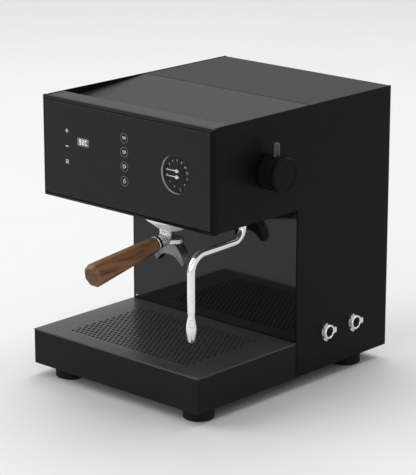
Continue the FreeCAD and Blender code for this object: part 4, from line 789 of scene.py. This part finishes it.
def display_digits():
    """The temperature shown on the display."""
    bm = bmesh.new()
    x, z = on_front(DISPLAY_X, DISPLAY_DROP)
    for place, digit in zip((-1, 0, 1), DISPLAY_TEXT):
        for bar in DIGITS[digit]:
            u, v, upright = DIGIT_BARS[bar]
            bar_x = x + place * DIGIT_PITCH + u * (DIGIT_WIDTH - DIGIT_LINE) / 2
            bar_z = z + v * (DIGIT_HEIGHT - DIGIT_LINE) / 2
            size = (DIGIT_LINE, DIGIT_HEIGHT / 2) if upright else (DIGIT_WIDTH, DIGIT_LINE)
            add_bar(bm, bar_x, bar_z, *size, *DIGIT_PRINT)
    piece("display_digits", bm, digits_lit(), "chassis")


def add_numeral(bm, text, x, z, back):
    """A printed number facing the front, centred on a point."""
    curve = bpy.data.curves.new("numeral", "FONT")
    curve.body = text
    curve.size = NUMERAL_SIZE
    curve.align_x = "CENTER"
    curve.align_y = "CENTER"
    curve.extrude = PRINT / 2
    curve.resolution_u = NUMERAL_RESOLUTION
    holder = bpy.data.objects.new("numeral", curve)
    mesh = bpy.data.meshes.new_from_object(holder)
    turn = Matrix.Rotation(QUARTER_TURN, 4, "X")
    mesh.transform(Matrix.Translation((x, back - PRINT / 2, z)) @ turn)
    bm.from_mesh(mesh)
    bpy.data.meshes.remove(mesh)
    bpy.data.objects.remove(holder)
    bpy.data.curves.remove(curve)


def on_dial(radius, angle):
    """A point (x, z) on the dial, with the angle in degrees from +X."""
    a = math.radians(angle)
    return DIAL_X + radius * math.cos(a), DIAL_Z + radius * math.sin(a)


def dial_numbers():
    """Two scales: pump pressure over the top, boiler pressure along the bottom."""
    bm = bmesh.new()
    for start, step, numbers in (PUMP_SCALE, BOILER_SCALE):
        for k, number in enumerate(numbers):
            if number:
                x, z = on_dial(NUMERAL_RADIUS, start + k * step)
                add_numeral(bm, number, x, z, DIAL_LOW.y)
    piece("dial_numbers", bm, print_dial(), "chassis")


def add_tick(bm, angle, outer, length, width):
    """A bar along the dial's radius."""
    x, z = on_dial(outer - length / 2, angle)
    add_bar(bm, x, z, length, width, *DIAL_PRINT, math.radians(angle))


def dial_ticks():
    """A tick at each number and halfway between."""
    bm = bmesh.new()
    for start, step, numbers in (PUMP_SCALE, BOILER_SCALE):
        for k in range(len(numbers) * 2 - 1):
            add_tick(bm, start + k * step / 2, TICK_OUTER, TICK_LENGTH, TICK_WIDTH)
    piece("dial_ticks", bm, print_grey(), "chassis")


def dial_limit():
    """Orange bar at the boiler scale's limit."""
    bm = bmesh.new()
    start, step = BOILER_SCALE[:2]
    add_tick(bm, start + LIMIT_MARK * step, LIMIT_OUTER, LIMIT_LENGTH, LIMIT_WIDTH)
    piece("dial_limit", bm, print_orange(), "chassis")


class Lattice:
    """Vertices of a bmesh by place, so that neighbouring cells share them."""

    def __init__(self, bm):
        self.bm = bm
        self.known = {}

    def at(self, *place):
        key = tuple(round(value, SAME_PLACE_DIGITS) for value in place)
        if key not in self.known:
            self.known[key] = self.bm.verts.new(place)
        return self.known[key]

    def fill(self, points):
        self.bm.faces.new([self.at(*p) for p in points])


def cell_border(x, y):
    """Sixteen points round one hole's cell, anticlockwise from the middle of its right side."""
    half_x = HOLE_PITCH_X / 2
    half_y = HOLE_PITCH_Y / 2
    steps = [(1, 0), (1, 0.5), (1, 1), (0.5, 1), (0, 1), (-0.5, 1), (-1, 1), (-1, 0.5), (-1, 0), (-1, -0.5),
             (-1, -1), (-0.5, -1), (0, -1), (0.5, -1), (1, -1), (1, -0.5)]
    return [(x + u * half_x, y + v * half_y) for u, v in steps]


def add_hole_cell(lattice, x, y):
    """One cell of the grate: both faces round a hole, and the hole's wall."""
    low = COVER_LOW.z
    high = COVER_HIGH.z
    border = cell_border(x, y)
    hole = circle(x, y, HOLE_RADIUS, HOLE_SIDES)
    for k in range(HOLE_SIDES):
        n = (k + 1) % HOLE_SIDES
        for z in (low, high):
            lattice.fill([(*border[k], z), (*border[n], z), (*hole[n], z), (*hole[k], z)])
        lattice.fill([(*hole[k], low), (*hole[n], low), (*hole[n], high), (*hole[k], high)])


def add_plain_half_cell(lattice, x_low, y):
    """A half cell without a hole, which fills the end of a staggered row."""
    step_x = HOLE_PITCH_X / 4
    step_y = HOLE_PITCH_Y / 4
    for i in range(2):
        for j in range(-2, 2):
            corners = [(i, j), (i + 1, j), (i + 1, j + 1), (i, j + 1)]
            for z in (COVER_LOW.z, COVER_HIGH.z):
                lattice.fill([(x_low + u * step_x, y + v * step_y, z) for u, v in corners])


def add_hole_field(lattice):
    """All rows of holes, each second row shifted by half a cell."""
    for row in range(HOLE_ROWS):
        y = FIELD_FIRST_Y + row * HOLE_PITCH_Y
        count = HOLE_COLUMNS - row % 2
        for k in range(count):
            add_hole_cell(lattice, MIDDLE_X + (k - (count - 1) / 2) * HOLE_PITCH_X, y)
        if row % 2:
            add_plain_half_cell(lattice, FIELD_LEFT, y)
            add_plain_half_cell(lattice, FIELD_RIGHT - HOLE_PITCH_X / 2, y)


def edge_profile():
    """(inset, z) steps from the flat top over the rounded edge and down to the flat underside."""
    steps = []
    for k in range(ROUND_STEPS + 1):
        a = math.pi / 2 * k / ROUND_STEPS
        steps.append((GRATE_ROUND * (1 - math.sin(a)), COVER_HIGH.z - GRATE_ROUND * (1 - math.cos(a))))
    return steps + [(0, COVER_LOW.z), (GRATE_ROUND, COVER_LOW.z)]


def grate_corners(inset):
    """Corners of the grate's outline; the rear edge stays where it is."""
    return [(COVER_LOW.x + inset, COVER_LOW.y + inset), (COVER_HIGH.x - inset, COVER_LOW.y + inset),
            (COVER_HIGH.x - inset, COVER_HIGH.y), (COVER_LOW.x + inset, COVER_HIGH.y)]


def add_plain_margin(lattice, inset, z):
    """The flat border between the field of holes and the grate's outline, on one face."""
    along_x = [FIELD_LEFT + k * HOLE_PITCH_X / 4 for k in range(HOLE_COLUMNS * 4 + 1)]
    along_y = [FIELD_LOW_Y + k * HOLE_PITCH_Y / 4 for k in range(HOLE_ROWS * 4 + 1)]
    a, b, c, d = grate_corners(inset)
    lattice.fill([(*a, z), (*b, z)] + [(x, FIELD_LOW_Y, z) for x in reversed(along_x)])
    lattice.fill([(*b, z), (*c, z)] + [(FIELD_RIGHT, y, z) for y in reversed(along_y)])
    lattice.fill([(*c, z), (*d, z)] + [(x, FIELD_HIGH_Y, z) for x in along_x])
    lattice.fill([(*d, z), (*a, z)] + [(FIELD_LEFT, y, z) for y in along_y])


def add_grate_edge(lattice, profile):
    """The rounded edge and the wall round the grate."""
    for (inset, z), (next_inset, next_z) in zip(profile, profile[1:]):
        upper = grate_corners(inset)
        lower = grate_corners(next_inset)
        for k in range(4):
            n = (k + 1) % 4
            lattice.fill([(*upper[k], z), (*upper[n], z), (*lower[n], next_z), (*lower[k], next_z)])


def fine_grate():
    """The drip tray's cover with its whole field of small round holes."""
    bm = bmesh.new()
    lattice = Lattice(bm)
    add_hole_field(lattice)
    profile = edge_profile()
    add_plain_margin(lattice, *profile[0])
    add_plain_margin(lattice, *profile[-1])
    add_grate_edge(lattice, profile)
    bmesh.ops.dissolve_degenerate(bm, dist=SAME_PLACE, edges=bm.edges)
    grate = piece("fine_grate", bm, grate_coat_painted_sheen(), "cover")
    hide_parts("drip_cover")


def hexagon(radius, per_side):
    """Points round a hexagon, a few on each side."""
    corners = circle(0, 0, radius, SOCKET_SIDES)
    points = []
    for k in range(SOCKET_SIDES):
        ax, ay = corners[k]
        bx, by = corners[(k + 1) % SOCKET_SIDES]
        points += [(ax + (bx - ax) * j / per_side, ay + (by - ay) * j / per_side) for j in range(per_side)]
    return points


def screw_bmesh(radius, height):
    """A button-head screw standing on Z = 0, with a hexagon socket."""
    bm = bmesh.new()
    socket = hexagon(radius * SOCKET_RADIUS, SCREW_SIDES // SOCKET_SIDES)
    rings = [[(x, y, 0) for x, y in circle(0, 0, radius, SCREW_SIDES)]]
    for share, rise in SCREW_DOME:
        rings.append([(x, y, height * rise) for x, y in circle(0, 0, radius * share, SCREW_SIDES)])
    rings.append([(x, y, height) for x, y in socket])
    rings.append([(x, y, height * SOCKET_FLOOR) for x, y in socket])
    loops = [[bm.verts.new(p) for p in ring] for ring in rings]
    bm.faces.new(loops[0])
    bm.faces.new(loops[-1])
    join_loops(bm, loops)
    return bm


def stand(bm, place, facing):
    """Moves what was built on Z = 0 to a place, facing a direction."""
    turn = UPWARD.rotation_difference(Vector(facing)).to_matrix().to_4x4()
    bm.transform(Matrix.Translation(place) @ turn)


def screw(name, place, facing, radius, material):
    bm = screw_bmesh(radius, radius * SCREW_HEIGHT)
    stand(bm, place, facing)
    piece(name, bm, material, "chassis")


def splash_screw():
    """The screw at the lower left of the backsplash."""
    place = (SPLASH_LOW.x + SPLASH_SCREW_INSET, SPLASH_LOW.y, COVER_HIGH.z + SPLASH_SCREW_RISE)
    screw("splash_screw", place, (0, -1, 0), SPLASH_SCREW_RADIUS, brushed_steel())


def rear_screws():
    """Three screws down each side of the rear panel."""
    dark = satin_black()
    rows = {"low": REAR_LOW.z + REAR_SCREW_INSET, "mid": (REAR_LOW.z + REAR_HIGH.z) / 2,
            "high": REAR_HIGH.z - REAR_SCREW_INSET}
    columns = {"left": REAR_LOW.x + REAR_SCREW_INSET, "right": REAR_HIGH.x - REAR_SCREW_INSET}
    for row, z in rows.items():
        for side, x in columns.items():
            screw("rear_screw_" + row + "_" + side, (x, REAR_HIGH.y, z), (0, 1, 0), REAR_SCREW_RADIUS, dark)


def fitting_ends():
    """The middle of each side fitting's open end, as (x, y, z)."""
    ends = []
    for name in ("water_inlet_fitting", "drain_fitting"):
        low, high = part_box(name)
        ends.append((high.x, high.y - SOLID_LUG_REACH, (low.z + high.z) / 2))
    return ends


def fitting_rims():
    """The rolled bright rim round the open end of both side fittings."""
    bm = bmesh.new()
    for end_x, y, z in fitting_ends():
        loops = []
        for k in range(RIM_STEPS + 1):
            a = math.pi * k / RIM_STEPS
            x = end_x + RIM_HEIGHT * math.sin(a)
            ring = circle(y, z, RIM_RADIUS + RIM_HALF_WIDTH * math.cos(a))
            loops.append([bm.verts.new((x, u, v)) for u, v in ring])
        join_loops(bm, loops, closed=True)
    piece("fitting_rims", bm, chrome(), "chassis")


def fitting_sleeves():
    """The polished outside of both side fittings, with the lug that points to the rear."""
    bm = bmesh.new()
    half_angle = math.degrees(math.asin(LUG_HALF_WIDTH / LUG_REACH))
    for end_x, y, z in fitting_ends():
        depth = (-PANEL_HIGH.x, -end_x)
        add_band(bm, circle(y, z, SLEEVE_OUTER), circle(y, z, SLEEVE_INNER), *depth)
        tip = arc(y, z, LUG_REACH, -half_angle, half_angle, LUG_STEPS)
        foot = [(y + LUG_FOOT, z + LUG_HALF_WIDTH), (y + LUG_FOOT, z - LUG_HALF_WIDTH)]
        add_prism(bm, tip + foot, *depth)
    bm.transform(Matrix.Rotation(QUARTER_TURN, 4, "Z"))
    piece("fitting_sleeves", bm, sleeve_steel_painted_reflection(), "chassis")


def handle_collar():
    """The thin bright ring round the ferrule, where the wooden grip begins."""
    low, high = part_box("handle_ferrule")
    across = high.x - low.x
    length = (high.y - low.y - across * math.sin(HANDLE_TILT)) / math.cos(HANDLE_TILT)
    start = (low + high) / 2 + HANDLE_AXIS * (length / 2 - COLLAR_WIDTH)
    bm = bmesh.new()
    loops = []
    for k in range(COLLAR_STEPS + 1):
        a = math.pi * k / COLLAR_STEPS
        along = COLLAR_WIDTH * (1 - math.cos(a)) / 2
        ring = circle(0, 0, across / 2 + COLLAR_RISE * math.sin(a))
        loops.append([bm.verts.new((x, y, along)) for x, y in ring])
    join_loops(bm, loops, closed=True)
    stand(bm, start, HANDLE_AXIS)
    piece("handle_collar", bm, chrome(), "portafilter")


def dress_nodes():
    """Gives every CAD node its material."""
    dress(powder_coat(), "left_side_panel", "right_side_panel", "rear_panel", "head_floor", "tank_lid",
          "base_plate")
    dress(top_coat_painted_sheen(), "cup_tray")
    dress(tray_coat(), "drip_tray")
    dress(grate_coat_painted_sheen(), "drip_cover")
    dress(splash_gloss(), "backsplash")
    dress(frame_black(), "front_frame")
    dress(satin_black(), "handle_ferrule")
    dress(front_glass(), "control_glass", "display_module")
    dress(dial_black(), "gauge_dial")
    dress(clear_lens(), "gauge_lens")
    dress(needle_white(), "pump_needle", "boiler_needle")
    dress(chrome(), "wand_tube", "wand_tip", "wand_gland")
    dress(fitting_steel(), "water_inlet_fitting", "drain_fitting")
    dress(cast_chrome(), "portafilter_neck")
    dress(spout_chrome_painted_shade(), "twin_spout")
    dress(ring_chrome_painted_reflection(), "group_ring", "portafilter_body")
    dress(gauge_silver(), "gauge_ring")
    dress(brushed_steel(), "group_body", "filter_basket", "shower_screen", "boiler_shell", "boiler_bolts",
          "tank_shelf", "lid_hinge_pins", "valve_spindle", "gauge_case", "solenoid_valve")
    dress(machined_brass(), "steam_valve_body", "fitting_locknuts")
    dress(drawn_copper(), "brew_pipe", "steam_pipe")
    dress(cast_alloy(), "thermoblock")
    dress(knob_black(), "steam_knob")
    dress(peg_metal(), "knob_pin")
    dress(walnut(), "handle_grip")
    dress(rubber(), "rubber_feet", "group_gasket", "pump_mounts")
    dress(smoked_plastic(), "water_tank", "tank_lugs")
    dress(moulded_black(), "tank_outlet", "tank_seat", "power_inlet")
    dress(silicone(), "suction_hose")
    dress(board_green(), "touch_board", "control_board")
    dress(pump_grey(), "vibration_pump")


def floor():
    """A plain pale floor that the whole view ends on."""
    bm = bmesh.new()
    bmesh.ops.create_grid(bm, x_segments=1, y_segments=1, size=FLOOR_SIZE)
    mesh = bpy.data.meshes.new("floor")
    bm.to_mesh(mesh)
    bm.free()
    mesh.materials.append(floor_matte())
    plane = bpy.data.objects.new("floor", mesh)
    bpy.context.scene.collection.objects.link(plane)


def background(tree, colour, strength):
    """An even light from all round."""
    node = tree.nodes.new("ShaderNodeBackground")
    node.inputs["Color"].default_value = colour
    node.inputs["Strength"].default_value = strength
    return node.outputs["Background"]


def sky():
    """Even studio light from all round, with a white background for the camera and for gloss."""
    world = bpy.data.worlds.new("studio")
    bpy.context.scene.world = world
    world.use_nodes = True
    tree = world.node_tree
    tree.nodes.clear()
    path = tree.nodes.new("ShaderNodeLightPath")
    seen = path.outputs["Is Camera Ray"]
    for ray in ("Is Glossy Ray", "Is Transmission Ray"):
        either = tree.nodes.new("ShaderNodeMath")
        either.operation = "MAXIMUM"
        tree.links.new(seen, either.inputs[0])
        tree.links.new(path.outputs[ray], either.inputs[1])
        seen = either.outputs["Value"]
    mix = tree.nodes.new("ShaderNodeMixShader")
    output = tree.nodes.new("ShaderNodeOutputWorld")
    tree.links.new(seen, mix.inputs["Fac"])
    tree.links.new(background(tree, SKY_COLOUR, SKY_STRENGTH), mix.inputs[1])
    tree.links.new(background(tree, BACKDROP_COLOUR, BACKDROP_STRENGTH), mix.inputs[2])
    tree.links.new(mix.outputs["Shader"], output.inputs["Surface"])


def lamp(name, place, width, height, power):
    """A soft rectangular lamp aimed at the middle of the machine."""
    light = bpy.data.lights.new(name, "AREA")
    light.shape = "RECTANGLE"
    light.size = width
    light.size_y = height
    light.energy = power
    holder = bpy.data.objects.new(name, light)
    aim = Vector(LAMP_TARGET) - Vector(place)
    holder.matrix_world = Matrix.Translation(place) @ aim.to_track_quat("-Z", "Y").to_matrix().to_4x4()
    bpy.context.scene.collection.objects.link(holder)


def lights():
    lamp("key", place=(-2.8, -2.0, 2.6), width=2.6, height=2.6, power=68)
    lamp("overhead", place=(-0.5, 1.4, 4.2), width=3.6, height=3.6, power=140)
    lamp("side", place=(2.2, -1.8, 1.4), width=0.8, height=1.6, power=4)
    lamp("front", place=(0.5, -2.5, 0.8), width=1.2, height=0.8, power=11)


def camera():
    """The photograph's viewpoint."""
    level = math.cos(CAMERA_ELEVATION)
    back = Vector((math.sin(CAMERA_AZIMUTH) * level, -math.cos(CAMERA_AZIMUTH) * level,
                   math.sin(CAMERA_ELEVATION)))
    right = Vector((math.cos(CAMERA_AZIMUTH), math.sin(CAMERA_AZIMUTH), 0))
    up = back.cross(right)
    lens = bpy.data.cameras.new("camera")
    lens.sensor_width = CAMERA_SENSOR
    lens.lens = CAMERA_LENS
    lens.clip_end = CAMERA_CLIP
    holder = bpy.data.objects.new("camera", lens)
    axes = Matrix((right, up, back)).transposed().to_4x4()
    place = (PANEL_HIGH.x + CAMERA_RIGHT, PANEL_HIGH.y - CAMERA_FORWARD, PANEL_LOW.z + CAMERA_RISE)
    holder.matrix_world = Matrix.Translation(place) @ axes
    bpy.context.scene.collection.objects.link(holder)
    bpy.context.scene.camera = holder


dress_nodes()
bevelled_frame()
sign_marks()
button_rings()
button_signs()
display_glow()
display_digits()
dial_numbers()
dial_ticks()
dial_limit()
fine_grate()
splash_screw()
rear_screws()
fitting_rims()
fitting_sleeves()
handle_collar()
floor()
sky()
lights()
camera()
bpy.context.scene.view_settings.view_transform = "Standard"
